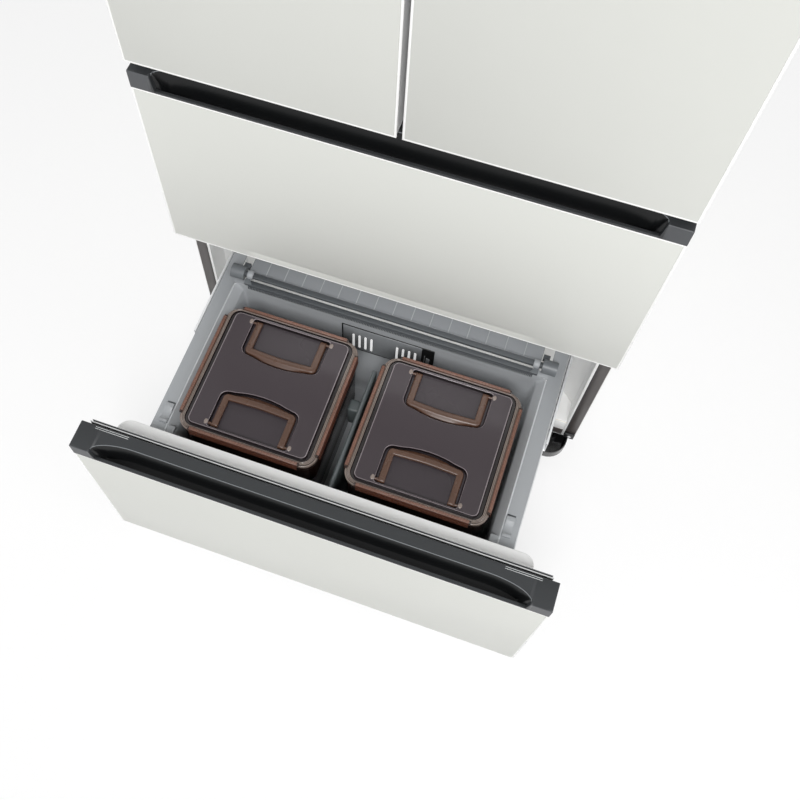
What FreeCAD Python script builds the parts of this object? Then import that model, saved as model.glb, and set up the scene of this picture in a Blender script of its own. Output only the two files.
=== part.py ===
import FreeCAD, Part
import math
import os
import re

import Sketcher

# A free-standing kimchi refrigerator: two hinged doors above two drawers. The lower drawer
# stands open, with two lidded food containers in its tub. Lengths are millimetres. The frame
# has its origin on the floor below the middle of the object as it stands, X to the viewer's
# right, Y to the back and Z up.

SIZES = {
    # Outside
    "cabinet_wide": 795, "depth": 793, "tall": 1853, "cover_tall": 25,
    "panel_inset": 1, "panel_tall": 366.6, "panel_gap": 50, "foot_gap": 50,
    "drawer_open": 414, "door_gap": 8, "door_drop": 1,
    # Fronts
    "skin": 4, "front_deep": 47, "seal_deep": 10, "seal_wide": 14, "seal_inset": 9.5,
    "seal_low": 8, "seal_high": 25, "core_inset": 1,
    "bulge_side": 14, "bulge_deep": 35, "bulge_low": 2, "bulge_top": 22, "bulge_round": 20,
    "cap_rise": 32, "cap_well": 22, "scoop_end": 34.5, "scoop_deep": 26, "scoop_round": 24,
    "scoop_floor": 18, "scoop_wall": 4, "scoop_lip": 3,
    # Cabinet
    "sheet": 1, "rim": 1.5, "liner": 2, "base_tall": 36, "base_sheet": 2,
    "cavity_wall": 59.5, "mouth_wall": 26.5, "mouth_deep": 45, "mouth_taper": 30,
    "floor_foam": 58, "divider_low": 10, "divider_thick": 62, "top_foam": 60, "back_foam": 52,
    "engine_deep": 241, "step_foam": 45, "engine_tall": 330, "partition": 50,
    "tray_inset": 10.5, "tray_deep": 150, "tray_low": 8, "tray_wall": 4, "tray_round": 20,
    "foot_wide": 44, "foot_stud": 12, "foot_inset": 47.5, "foot_back": 60,
    "wheel_wide": 33, "wheel_thick": 22, "wheel_inset": 77.5, "wheel_back": 60, "axle": 8,
    "ear_thick": 4, "ear_deep": 30, "running": 0.05, "side_play": 0.3,
    # Drawers
    "flange_drop": 60, "slide_room": 16, "flange_lip": 3, "lip_tall": 46,
    "flange_out": 22, "tub_wall": 3, "deck_deep": 84, "tub_clear": 5,
    "tub_low": 85.6, "tub_round": 18, "tub_divider": 8, "divider_high": 200, "divider_side": 3,
    "step_wide": 15, "step_deep": 37, "step_tall": 6, "step_front": 24,
    "slide_tall": 40, "slide_drop": 6, "slide_sheet": 1.5, "slide_play": 0.4,
    "slide_start": 95, "slide_mouth": 1,
    "grille_wide": 179, "grille_tall": 81, "grille_deep": 3, "grille_side": 3,
    "grille_drop": 25.6, "slot_wide": 5, "slot_tall": 50, "slot_step": 11.7, "slot_middle": 50,
    "slot_side": -3, "slot_drop": 8, "slot_count": 4,
    "bar_round": 6, "bar_inset": 64, "bearing_round": 13, "bearing_long": 30,
    "bearing_inset": 7, "rail_deep": 11, "rail_tall": 5, "cover_sheet": 3, "rib_step": 35,
    "rib_wide": 3, "rib_tall": 2,
    # Containers
    "pot_shift": -1, "pot_left": 5, "pot_room": 55, "pot_ends": 80, "pot_forward": 16, "pot_proud": 6,
    "pot_wall": 2.5, "pot_round": 24, "lid_over": 2, "lid_brim": 8,
    "lid_rise": 8, "lid_step": 5, "hinge_round": 3.5, "fit": 0.3, "flap_thick": 2.5,
    "flap_tall": 16.8, "lug": 4, "lug_root": 1, "bail_wide": 130, "bail_gap": 39, "bail_bar": 10,
    "bail_thick": 8, "bail_edge": 17, "pin_round": 2.5, "pin_long": 9, "pin_end": 0.5,
    "recess_play": 6, "recess_root": 6, "recess_end": 5, "recess_under": 1.5, "recess_round": 8,
    # Upper compartment and doors
    "door_pivot_side": 16, "door_pivot_back": 24, "pivot_round": 4, "pivot_long": 18,
    "pivot_end": 1,
    "bracket_thick": 4, "bracket_wide": 30, "bracket_lift": 8, "bracket_grip": 60,
    "door_seal_inset": 20, "door_seal_centre": 6, "dyke_wide": 25, "dyke_deep": 70,
    "dyke_outer": 62, "dyke_inner": 36, "dyke_end": 30, "bin_deep": 100, "bin_tall": 85,
    "bin_wall": 2.5, "bin_first": 40, "bin_step": 260, "bin_count": 3,
    "shelf_thick": 5, "shelf_front": 110, "shelf_first": 210, "shelf_step": 215,
    "shelf_play": 0.3, "shelf_count": 3, "cover_wide": 90, "cover_deep": 120, "cover_end": 10,
    # Machine room
    "can_round": 80, "can_tall": 150, "can_inset": 207.5, "can_base": 4, "can_back": 125,
    "mount_tall": 20, "mount_round": 12, "coil_inset": 207.5, "coil_wide": 160, "coil_deep": 150,
    "coil_tall": 190, "motor_round": 18, "motor_long": 46, "spindle_round": 3,
    "fan_round": 75, "hub_round": 20, "hub_long": 20, "blade_thick": 2, "blade_count": 5,
    "blade_long": 16, "blade_pitch": 25, "vent_start": 90, "vent_step": 24, "vent_tall": 8,
    "vent_wide": 220, "vent_count": 6,
    # How far a cut runs past the face that it opens
    "overshoot": 1,
}

# Sizes that follow from the table: what fits in, rests on or lines up with another piece
FOLLOWS = {
    "panel_wide": "cabinet_wide - 2 * panel_inset",
    "mouth_wide": "cabinet_wide - 2 * mouth_wall",
    "cavity_wide": "cabinet_wide - 2 * cavity_wall",
    "tray_wide": "cabinet_wide - 2 * tray_inset",
    "foot_side": "cabinet_wide / 2 - foot_inset",
    "wheel_side": "cabinet_wide / 2 - wheel_inset",
    "can_side": "cabinet_wide / 2 - can_inset",
    "coil_side": "cabinet_wide / 2 - coil_inset",
    "scoop_wide": "panel_wide - 2 * scoop_end",
    "flange_wide": "cavity_wide - 2 * slide_room",
    "flange_high": "panel_tall - flange_drop",
    "tub_wide": "flange_wide - 2 * flange_out",
    "tub_front": "front_deep + seal_deep + bulge_deep",
    "tub_deep": "depth - engine_deep - step_foam - liner - tub_clear",
    "tub_back": "tub_deep - deck_deep",
    "grille_top": "flange_high - grille_drop",
    "grille_low": "grille_top - grille_tall - tub_wall",
    "slide_end": "tub_deep",
    "bar_place": "tub_deep - bar_inset",
    "bar_lift": "bar_round + fit",
    "bearing_side": "tub_wide / 2 - bearing_inset",
    "pot_side": "tub_wide / 4 + pot_shift",
    "pot_wide": "tub_wide / 2 - pot_room",
    "pot_deep": "tub_back - tub_front - pot_ends",
    "pot_place": "(tub_front + tub_back) / 2 - pot_forward",
    "pot_tall": "flange_high - tub_low - tub_wall + pot_proud",
    "lid_wide": "pot_wide + 2 * lid_over",
    "lid_deep": "pot_deep + 2 * lid_over",
    "bail_long": "lid_deep / 2 - lid_step - bail_edge - bail_gap",
    "recess_wide": "bail_wide + 2 * recess_play",
    "recess_long": "recess_root + bail_long + recess_end",
    "recess_deep": "bail_thick + recess_under",
}

# Heights and depths of the planes that the pieces share
FRONT = "((drawer_open - depth) / 2)"
LOW_FRONT = f"({FRONT} - drawer_open)"
BACK = f"({FRONT} + depth)"
CABINET = f"({FRONT} + front_deep + seal_deep)"
FOAM_FRONT = f"({CABINET} + rim)"
TAPER_START = f"({CABINET} + mouth_deep)"
TAPER_END = f"({TAPER_START} + mouth_taper)"
REAR_FOAM = f"({BACK} - sheet - back_foam)"
STEP = f"({BACK} - engine_deep - step_foam)"
CABINET_TOP = "(tall - cover_tall)"
LOW_PANEL = "foot_gap"
MID_PANEL = "(foot_gap + panel_tall + panel_gap)"
DOOR_LOW = "(foot_gap + 2 * (panel_tall + panel_gap))"
DOOR_TOP = f"({CABINET_TOP} - door_drop)"
LOW_FLOOR = "(base_tall + floor_foam + liner)"
LOW_CEILING = "(foot_gap + panel_tall + divider_low)"
MID_FLOOR = f"({LOW_CEILING} + divider_thick)"
MID_CEILING = f"({MID_PANEL} + panel_tall + divider_low)"
UP_FLOOR = f"({MID_CEILING} + divider_thick)"
UP_CEILING = f"({CABINET_TOP} - sheet - top_foam - liner)"
FOAM_SIDE = "(cavity_wide / 2 + liner)"
MOUTH_SIDE = "(mouth_wide / 2 + liner)"
SHELL_SIDE = "(cabinet_wide / 2 - sheet)"

doc = FreeCAD.newDocument("KimchiRefrigerator")
sheet = doc.addObject("Spreadsheet::Sheet", "Sizes")
for row, (alias, size) in enumerate(SIZES.items(), start=1):
    sheet.set(f"A{row}", alias)
    sheet.set(f"B{row}", str(size))
    sheet.setAlias(f"B{row}", alias)
doc.recompute()

NAMES = re.compile(r"\b(" + "|".join(sorted([*SIZES, *FOLLOWS], key=len, reverse=True)) + r")\b")
TURN_TO_X = FreeCAD.Rotation(FreeCAD.Vector(0, 1, 0), 90)
TURN_TO_Y = FreeCAD.Rotation(FreeCAD.Vector(1, 0, 0), -90)
UPRIGHT = FreeCAD.Rotation()
START_ROUND = 100  # radius of the ring of points that an outline starts from
pieces = {}


def spelled(text):
    """An expression written out in the names of the size table."""
    return NAMES.sub(lambda found: f"({spelled(FOLLOWS[found[0]])})" if found[0] in FOLLOWS
                     else f"Sizes.{found[0]}", text)


def tie(thing, prop, text):
    thing.setExpression(prop, spelled(text))


def place(thing, x="0", y="0", z="0", turn=UPRIGHT):
    thing.Placement = FreeCAD.Placement(FreeCAD.Vector(), turn)
    for axis, text in zip("xyz", (x, y, z)):
        tie(thing, f"Placement.Base.{axis}", text)
    return thing


def value_of(text):
    return float(sheet.evalExpression(spelled(text)))


def count_of(alias):
    return int(round(value_of(alias)))


def block(name, x, y, z):
    """A box between a low and a high expression along each axis."""
    box = place(doc.addObject("Part::Box", name), x[0], y[0], z[0])
    for side, (low, high) in zip(("Length", "Width", "Height"), (x, y, z)):
        tie(box, side, f"({high}) - ({low})")
    return box


def centred(half):
    return f"-({half})", half


def about(middle, half):
    return f"{middle} - {half}", f"{middle} + {half}"


def rod(name, radius, length, x, y, z, turn=UPRIGHT):
    cylinder = place(doc.addObject("Part::Cylinder", name), x, y, z, turn)
    tie(cylinder, "Radius", radius)
    tie(cylinder, "Height", length)
    return cylinder


def joined(name, parts):
    union = doc.addObject("Part::MultiFuse", name)
    union.Shapes = parts
    union.Refine = True
    return union


def grouped(name, parts):
    group = doc.addObject("Part::Compound", name)
    group.Links = parts
    return group


def carved(name, base, tools):
    cut = doc.addObject("Part::Cut", name)
    cut.Base = base
    cut.Tool = tools[0] if len(tools) == 1 else joined(name + "Tools", tools)
    cut.Refine = True
    return cut


def node(name, thing):
    thing.Label = name
    pieces[name] = thing
    return thing


def origin_plane(body, role):
    return next(plane for plane in body.Origin.OriginFeatures if plane.Role == role)


def new_sketch(body, name, role):
    sketch = body.newObject("Sketcher::SketchObject", name)
    sketch.AttachmentSupport = (origin_plane(body, role), "")
    sketch.MapMode = "FlatFace"
    return sketch


def outline_sketch(body, name, points):
    """A closed outline whose corners lie at pairs of size expressions."""
    sketch = new_sketch(body, name, "XY_Plane")
    total = len(points)
    around = [math.tau * i / total for i in range(total)]
    ring = [FreeCAD.Vector(START_ROUND * math.cos(turn), START_ROUND * math.sin(turn), 0)
            for turn in around]
    for i in range(total):
        sketch.addGeometry(Part.LineSegment(ring[i], ring[(i + 1) % total]), False)
    for i in range(total):
        sketch.addConstraint(Sketcher.Constraint("Coincident", i, 2, (i + 1) % total, 1))
    for i, corner in enumerate(points):
        for kind, text, start in zip(("DistanceX", "DistanceY"), corner, (ring[i].x, ring[i].y)):
            index = sketch.addConstraint(Sketcher.Constraint(kind, -1, 1, i, 1, start or 0.001))
            sketch.renameConstraint(index, f"{kind}{i}")
            tie(sketch, f"Constraints.{kind}{i}", text)
    return sketch


def prism(name, points, low, high):
    """An upright solid on an outline in X and Y."""
    body = place(doc.addObject("PartDesign::Body", name), z=low)
    pad = body.newObject("PartDesign::Pad", name + "Pad")
    pad.Profile = outline_sketch(body, name + "Outline", points)
    tie(pad, "Length", f"({high}) - ({low})")
    return body


def rectangle_sketch(body, name, role, wide, high):
    """A rectangle about the plane's origin."""
    sketch = new_sketch(body, name, role)
    corners = [FreeCAD.Vector(x, y, 0) for x, y in ((-9, -7), (9, -7), (9, 7), (-9, 7))]
    for i in range(4):
        sketch.addGeometry(Part.LineSegment(corners[i], corners[(i + 1) % 4]), False)
    for i in range(4):
        sketch.addConstraint(Sketcher.Constraint("Coincident", i, 2, (i + 1) % 4, 1))
    for i, kind in enumerate(("Horizontal", "Vertical", "Horizontal", "Vertical")):
        sketch.addConstraint(Sketcher.Constraint(kind, i))
    sketch.addConstraint(Sketcher.Constraint("Symmetric", 0, 1, 2, 1, -1, 1))
    for kind, line, text, start in (("DistanceX", 0, wide, 18), ("DistanceY", 1, high, 14)):
        index = sketch.addConstraint(Sketcher.Constraint(kind, line, 1, line, 2, start))
        sketch.renameConstraint(index, kind)
        tie(sketch, f"Constraints.{kind}", text)
    return sketch


def is_upright(edge):
    ends = [vertex.Point for vertex in edge.Vertexes]
    return len(ends) == 2 and abs(ends[0].z - ends[1].z) > 1e-3


def rounded_block(name, wide, deep, radius, x, y, z):
    """A box about (x, y), between two heights, with its upright edges rounded."""
    low, high = z
    body = place(doc.addObject("PartDesign::Body", name), x, y, low)
    pad = body.newObject("PartDesign::Pad", name + "Pad")
    pad.Profile = rectangle_sketch(body, name + "Outline", "XY_Plane", wide, deep)
    tie(pad, "Length", f"({high}) - ({low})")
    doc.recompute()
    upright = [f"Edge{i}" for i, edge in enumerate(pad.Shape.Edges, start=1) if is_upright(edge)]
    fillet = body.newObject("PartDesign::Fillet", name + "Fillet")
    fillet.Base = (pad, upright)
    tie(fillet, "Radius", radius)
    return body


def seal_ring(name, wide, high, x, y, z):
    """A flat ring facing the front: a pad in the XZ plane with a pocket through it."""
    body = place(doc.addObject("PartDesign::Body", name), x, y, z)
    pad = body.newObject("PartDesign::Pad", name + "Pad")
    pad.Profile = rectangle_sketch(body, name + "Outer", "XZ_Plane", wide, high)
    tie(pad, "Length", "seal_deep")
    inner = rectangle_sketch(body, name + "Inner", "XZ_Plane",
                             f"{wide} - 2 * seal_wide", f"{high} - 2 * seal_wide")
    pocket = body.newObject("PartDesign::Pocket", name + "Pocket")
    pocket.Profile = inner
    pocket.Reversed = True
    tie(pocket, "Length", "seal_deep")
    return body


# --- Cabinet --------------------------------------------------------------------------------

def make_shell():
    """Painted sheet over both sides and the top, open below, in front and behind."""
    outer = block("ShellOuter", centred("cabinet_wide / 2"), (CABINET, BACK),
                  ("base_tall", CABINET_TOP))
    inner = block("ShellInner", centred(SHELL_SIDE), (CABINET, BACK),
                  ("base_tall", f"{CABINET_TOP} - sheet"))
    node("cabinet_shell", carved("Shell", outer, [inner]))
    node("back_panel", block("BackPanel", centred(SHELL_SIDE), (f"{BACK} - sheet", BACK),
                             ("engine_tall", f"{CABINET_TOP} - sheet")))


def mouth_block(name, low, high):
    """A slab's front part: as wide as the mouth, then tapering in to the cavity's width."""
    points = [(f"-{MOUTH_SIDE}", FOAM_FRONT), (MOUTH_SIDE, FOAM_FRONT),
              (MOUTH_SIDE, TAPER_START), (FOAM_SIDE, TAPER_END),
              (f"-{FOAM_SIDE}", TAPER_END), (f"-{MOUTH_SIDE}", TAPER_START)]
    return prism(name, points, low, high)


def make_insulation():
    """Foam between the shell and the liners, wall by wall."""
    walls = []
    for side, sign in (("Left", "-"), ("Right", "")):
        x_low, x_high = (f"-{SHELL_SIDE}", f"-{MOUTH_SIDE}") if sign else (MOUTH_SIDE, SHELL_SIDE)
        walls.append(block(f"FoamLip{side}", (x_low, x_high), (FOAM_FRONT, TAPER_START),
                           ("base_tall", f"{CABINET_TOP} - sheet")))
        points = [(f"{sign}{SHELL_SIDE}", TAPER_START), (f"{sign}{MOUTH_SIDE}", TAPER_START),
                  (f"{sign}{FOAM_SIDE}", TAPER_END), (f"{sign}{FOAM_SIDE}", f"{BACK} - sheet"),
                  (f"{sign}{SHELL_SIDE}", f"{BACK} - sheet")]
        walls.append(prism(f"FoamWall{side}", points, "base_tall", f"{CABINET_TOP} - sheet"))
    slabs = (("Top", f"{UP_CEILING} + liner", f"{CABINET_TOP} - sheet", f"{BACK} - sheet"),
             ("UpperDivider", f"{MID_CEILING} + liner", f"{UP_FLOOR} - liner", REAR_FOAM),
             ("LowerDivider", f"{LOW_CEILING} + liner", f"{MID_FLOOR} - liner", REAR_FOAM),
             ("Floor", "base_tall", f"{LOW_FLOOR} - liner", STEP))
    for name, low, high, back in slabs:
        walls.append(mouth_block(f"Foam{name}Mouth", low, high))
        walls.append(block(f"Foam{name}", centred(FOAM_SIDE), (TAPER_END, back), (low, high)))
    walls.append(block("FoamBack", centred(FOAM_SIDE), (REAR_FOAM, f"{BACK} - sheet"),
                       ("engine_tall", f"{UP_CEILING} + liner")))
    walls.append(block("FoamStep", centred(FOAM_SIDE), (STEP, f"{STEP} + step_foam"),
                       ("base_tall", f"{LOW_CEILING} + liner")))
    walls.append(block("FoamDeck", centred(FOAM_SIDE), (f"{STEP} + step_foam", REAR_FOAM),
                       ("engine_tall", f"{LOW_CEILING} + liner")))
    walls.append(block("FoamPartition", centred("partition / 2 - liner"),
                       (FOAM_FRONT, REAR_FOAM), (f"{UP_FLOOR} - liner", f"{UP_CEILING} + liner")))
    node("cabinet_insulation", grouped("Insulation", walls))


def liner_outline(side_mouth, side_cavity, back):
    return [(f"-{side_mouth}", FOAM_FRONT), (side_mouth, FOAM_FRONT), (side_mouth, TAPER_START),
            (side_cavity, TAPER_END), (side_cavity, back), (f"-{side_cavity}", back),
            (f"-{side_cavity}", TAPER_END), (f"-{side_mouth}", TAPER_START)]


def make_liner(label, name, low, high, back):
    """A thin plastic box open in front, widening towards its mouth."""
    outer = prism(name + "Outer", liner_outline(MOUTH_SIDE, FOAM_SIDE, back),
                  f"{low} - liner", f"{high} + liner")
    inner = prism(name + "Inner", liner_outline("mouth_wide / 2", "cavity_wide / 2",
                                                f"{back} - liner"), low, high)
    node(label, carved(name, outer, [inner]))


def make_upper_liner():
    """Two thin plastic boxes side by side, with the partition's foam between them."""
    outer = prism("UpperLinerOuter", liner_outline(MOUTH_SIDE, FOAM_SIDE, REAR_FOAM),
                  f"{UP_FLOOR} - liner", f"{UP_CEILING} + liner")
    cells = [block("UpperLinerGap", centred("partition / 2 - liner"), (FOAM_FRONT, REAR_FOAM),
                   (f"{UP_FLOOR} - liner", f"{UP_CEILING} + liner"))]
    for side, sign in (("Left", "-"), ("Right", "")):
        points = [(f"{sign}(partition / 2)", FOAM_FRONT), (f"{sign}(mouth_wide / 2)", FOAM_FRONT),
                  (f"{sign}(mouth_wide / 2)", TAPER_START), (f"{sign}(cavity_wide / 2)", TAPER_END),
                  (f"{sign}(cavity_wide / 2)", f"{REAR_FOAM} - liner"),
                  (f"{sign}(partition / 2)", f"{REAR_FOAM} - liner")]
        cells.append(prism(f"UpperCell{side}", points, UP_FLOOR, UP_CEILING))
    node("upper_liner", carved("UpperLiner", outer, cells))


def make_front_frame():
    """The flat dark rim that the seals close against, with a window for each cavity."""
    plate = block("FramePlate", centred(SHELL_SIDE), (CABINET, FOAM_FRONT),
                  ("base_tall", f"{CABINET_TOP} - sheet"))
    windows = [block("FrameLow", centred("mouth_wide / 2"), (CABINET, FOAM_FRONT),
                     (LOW_FLOOR, LOW_CEILING)),
               block("FrameMiddle", centred("mouth_wide / 2"), (CABINET, FOAM_FRONT),
                     (MID_FLOOR, MID_CEILING)),
               block("FrameUpLeft", ("-mouth_wide / 2", "-partition / 2"), (CABINET, FOAM_FRONT),
                     (UP_FLOOR, UP_CEILING)),
               block("FrameUpRight", ("partition / 2", "mouth_wide / 2"), (CABINET, FOAM_FRONT),
                     (UP_FLOOR, UP_CEILING))]
    node("front_frame", carved("FrontFrame", plate, windows))


def make_base():
    """The floor pan with ears for the rear wheels, the front tray, its feet and the wheels."""
    axle_y = f"({BACK} - wheel_back)"
    axle_z = "(wheel_wide / 2)"
    pan = [block("Pan", centred("cabinet_wide / 2"), (CABINET, BACK),
                 ("base_tall - base_sheet", "base_tall"))]
    bores = []
    for side, sign in (("Left", "-"), ("Right", "")):
        centre = f"({sign}wheel_side)"
        for end, shift in (("In", "-"), ("Out", "")):
            middle = f"({centre} {shift or '+'} (wheel_thick / 2 + side_play + ear_thick / 2))"
            pan.append(block(f"Ear{side}{end}", about(middle, "ear_thick / 2"),
                             about(axle_y, "ear_deep / 2"),
                             (f"{axle_z} - axle", "base_tall - base_sheet")))
        bores.append(rod(f"EarBore{side}", "axle / 2 + running", "wheel_thick + 4 * ear_thick",
                         f"{centre} - wheel_thick / 2 - 2 * ear_thick", axle_y, axle_z, TURN_TO_X))
    node("base_pan", carved("BasePan", joined("PanWithEars", pan), bores))
    half_axle = "(wheel_side + wheel_thick / 2 + side_play + ear_thick)"
    rollers = [rod("Axle", "axle / 2", f"2 * {half_axle}", f"-{half_axle}", axle_y, axle_z, TURN_TO_X)]
    for side, sign in (("Left", "-"), ("Right", "")):
        rollers.append(rod(f"Wheel{side}", "wheel_wide / 2", "wheel_thick",
                           f"{sign}wheel_side - wheel_thick / 2", axle_y, axle_z, TURN_TO_X))
    node("rear_rollers", joined("RearRollers", rollers))
    tray_y = f"({FRONT} + tray_deep / 2)"
    tray = rounded_block("TrayOuter", "tray_wide", "tray_deep", "tray_round", "0", tray_y,
                         ("tray_low", "base_tall - base_sheet"))
    hollow = rounded_block("TrayInner", "tray_wide - 2 * tray_wall", "tray_deep - 2 * tray_wall",
                           "tray_round - tray_wall", "0", tray_y,
                           ("tray_low + tray_wall", "base_tall"))
    foot_y = f"({FRONT} + foot_back)"
    holes, feet = [], []
    for side, sign in (("Left", "-"), ("Right", "")):
        holes.append(rod(f"FootHole{side}", "foot_stud / 2 + side_play", "base_tall",
                         f"{sign}foot_side", foot_y, "0"))
        disc = rod(f"FootDisc{side}", "foot_wide / 2", "tray_low", f"{sign}foot_side", foot_y, "0")
        stud = rod(f"FootStud{side}", "foot_stud / 2", "base_tall - base_sheet",
                   f"{sign}foot_side", foot_y, "0")
        feet.append(joined(f"Foot{side}", [disc, stud]))
    node("base_tray", carved("BaseTray", tray, [hollow] + holes))
    node("front_feet", grouped("FrontFeet", feet))


def make_machine_room():
    """Compressor on rubber mounts, condenser block with its fan motor, fan and rear cover."""
    room_y = f"({BACK} - can_back)"
    can_z = "(base_tall + mount_tall + can_base)"
    can = [rod("Can", "can_round", "can_tall", "can_side", room_y, can_z),
           block("CanBase", ("can_side - can_round - mount_round", "can_side + can_round + mount_round"),
                 about(room_y, "(can_round + mount_round)"),
                 ("base_tall + mount_tall", can_z))]
    dome = place(doc.addObject("Part::Sphere", "Dome"), "can_side", room_y, f"{can_z} + can_tall")
    tie(dome, "Radius", "can_round")
    flat = place(doc.addObject("Part::Box", "DomeBox"), "can_side - can_round",
                 f"{room_y} - can_round", f"{can_z} + can_tall")
    for side in ("Length", "Width"):
        tie(flat, side, "2 * can_round")
    tie(flat, "Height", "can_round / 2")
    cap = doc.addObject("Part::Common", "DomeCap")
    cap.Base = dome
    cap.Tool = flat
    mounts = []
    for x_name, x_sign in (("Left", "-"), ("Right", "+")):
        for y_name, y_sign in (("Front", "-"), ("Back", "+")):
            mounts.append(rod(f"Mount{x_name}{y_name}", "mount_round", "mount_tall",
                              f"can_side {x_sign} can_round", f"{room_y} {y_sign} can_round",
                              "base_tall"))
    node("compressor", grouped("Compressor", [joined("CanWhole", can + [cap])] + mounts))

    coil_x = ("-coil_side - coil_wide / 2", "-coil_side + coil_wide / 2")
    axis_z = "(base_tall + coil_tall / 2)"
    motor_x = "(-coil_side + coil_wide / 2)"
    coil = [block("Coil", coil_x, about(room_y, "coil_deep / 2"),
                  ("base_tall", "base_tall + coil_tall")),
            rod("Motor", "motor_round", "motor_long", motor_x, room_y, axis_z, TURN_TO_X),
            rod("Spindle", "spindle_round", "motor_long + hub_long", motor_x, room_y, axis_z,
                TURN_TO_X)]
    node("condenser", joined("Condenser", coil))
    hub_x = f"({motor_x} + motor_long + side_play)"
    hub = rod("Hub", "hub_round", "hub_long", hub_x, room_y, axis_z, TURN_TO_X)
    blades = []
    for i in range(count_of("blade_count")):
        blade = doc.addObject("Part::Box", f"Blade{i}")
        tie(blade, "Length", "blade_long")
        tie(blade, "Width", "blade_thick")
        tie(blade, "Height", "fan_round")
        pitch = FreeCAD.Rotation(FreeCAD.Vector(0, 0, 1), value_of("blade_pitch"))
        spin = FreeCAD.Rotation(FreeCAD.Vector(1, 0, 0), 360 / count_of("blade_count") * i)
        place(blade, f"{hub_x} + blade_thick", room_y, axis_z, spin * pitch)
        blades.append(blade)
    bore = rod("HubBore", "spindle_round + running", "hub_long * 3", f"{hub_x} - hub_long", room_y,
               axis_z, TURN_TO_X)
    node("condenser_fan", carved("Fan", joined("FanWhole", [hub] + blades), [bore]))

    cover = block("MachinePlate", centred(SHELL_SIDE), (f"{BACK} - sheet", BACK),
                  ("base_tall", "engine_tall"))
    vents = []
    for side, sign in (("Left", "-"), ("Right", "")):
        for i in range(count_of("vent_count")):
            low = f"(base_tall + vent_start + {i} * vent_step)"
            middle = f"({sign}coil_side)"
            vents.append(block(f"Vent{side}{i}", about(middle, "vent_wide / 2"),
                               (f"{BACK} - sheet - overshoot", f"{BACK} + overshoot"),
                               (low, f"{low} + vent_tall")))
    node("machine_cover", carved("MachineCover", cover, vents))


# --- Drawers --------------------------------------------------------------------------------

def make_front(label, name, front, low, floor, ceiling):
    """A drawer's front: panel skin, insulated core with its inner bulge, grip cap and seal."""
    top = f"({low} + panel_tall)"
    rear = f"({front} + front_deep)"
    node(f"{label}_panel", block(name + "Panel", centred("panel_wide / 2"),
                                 (front, f"{front} + skin"), (low, top)))
    well_x = centred("scoop_wide / 2 + scoop_wall")
    well_y = (f"{front} + skin", f"{front} + scoop_deep + scoop_wall")
    core = block(name + "CoreBlock", centred("panel_wide / 2 - core_inset"),
                 (f"{front} + skin", rear), (f"{low} + core_inset", top))
    bulge = rounded_block(name + "Bulge", "mouth_wide - 2 * bulge_side",
                          "seal_deep + bulge_deep + bulge_round", "bulge_round", "0",
                          f"{rear} + (seal_deep + bulge_deep - bulge_round) / 2",
                          (f"{floor} + bulge_low", f"{ceiling} - bulge_top"))
    pocket = block(name + "WellPocket", well_x, well_y, (f"{top} - cap_well", f"{top} + overshoot"))
    node(f"{label}_core", carved(name + "Core", joined(name + "CoreWhole", [core, bulge]), [pocket]))

    cap = block(name + "CapBlock", centred("panel_wide / 2"), (front, rear),
                (top, f"{top} + cap_rise"))
    well = block(name + "Well", well_x, well_y, (f"{top} - cap_well", top))
    scoop = rounded_block(name + "Scoop", "scoop_wide", "2 * scoop_deep", "scoop_round", "0",
                          front, (f"{top} + scoop_lip", f"{top} + 2 * cap_rise"))
    inner = block(name + "ScoopWell", centred("scoop_wide / 2 - scoop_round"),
                  (f"{front} + skin + scoop_lip / 2", f"{front} + scoop_deep"),
                  (f"{top} - scoop_floor", f"{top} + cap_rise"))
    node(f"{label}_cap", carved(name + "Cap", joined(name + "CapWhole", [cap, well]), [scoop, inner]))

    seal_z = f"({low} + seal_low)"
    seal_top = f"({top} + seal_high)"
    node(f"{label}_gasket", seal_ring(name + "Seal", "panel_wide - 2 * seal_inset",
                                      f"({seal_top} - {seal_z})", "0", f"{rear} + seal_deep",
                                      f"({seal_z} + {seal_top}) / 2"))


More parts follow.
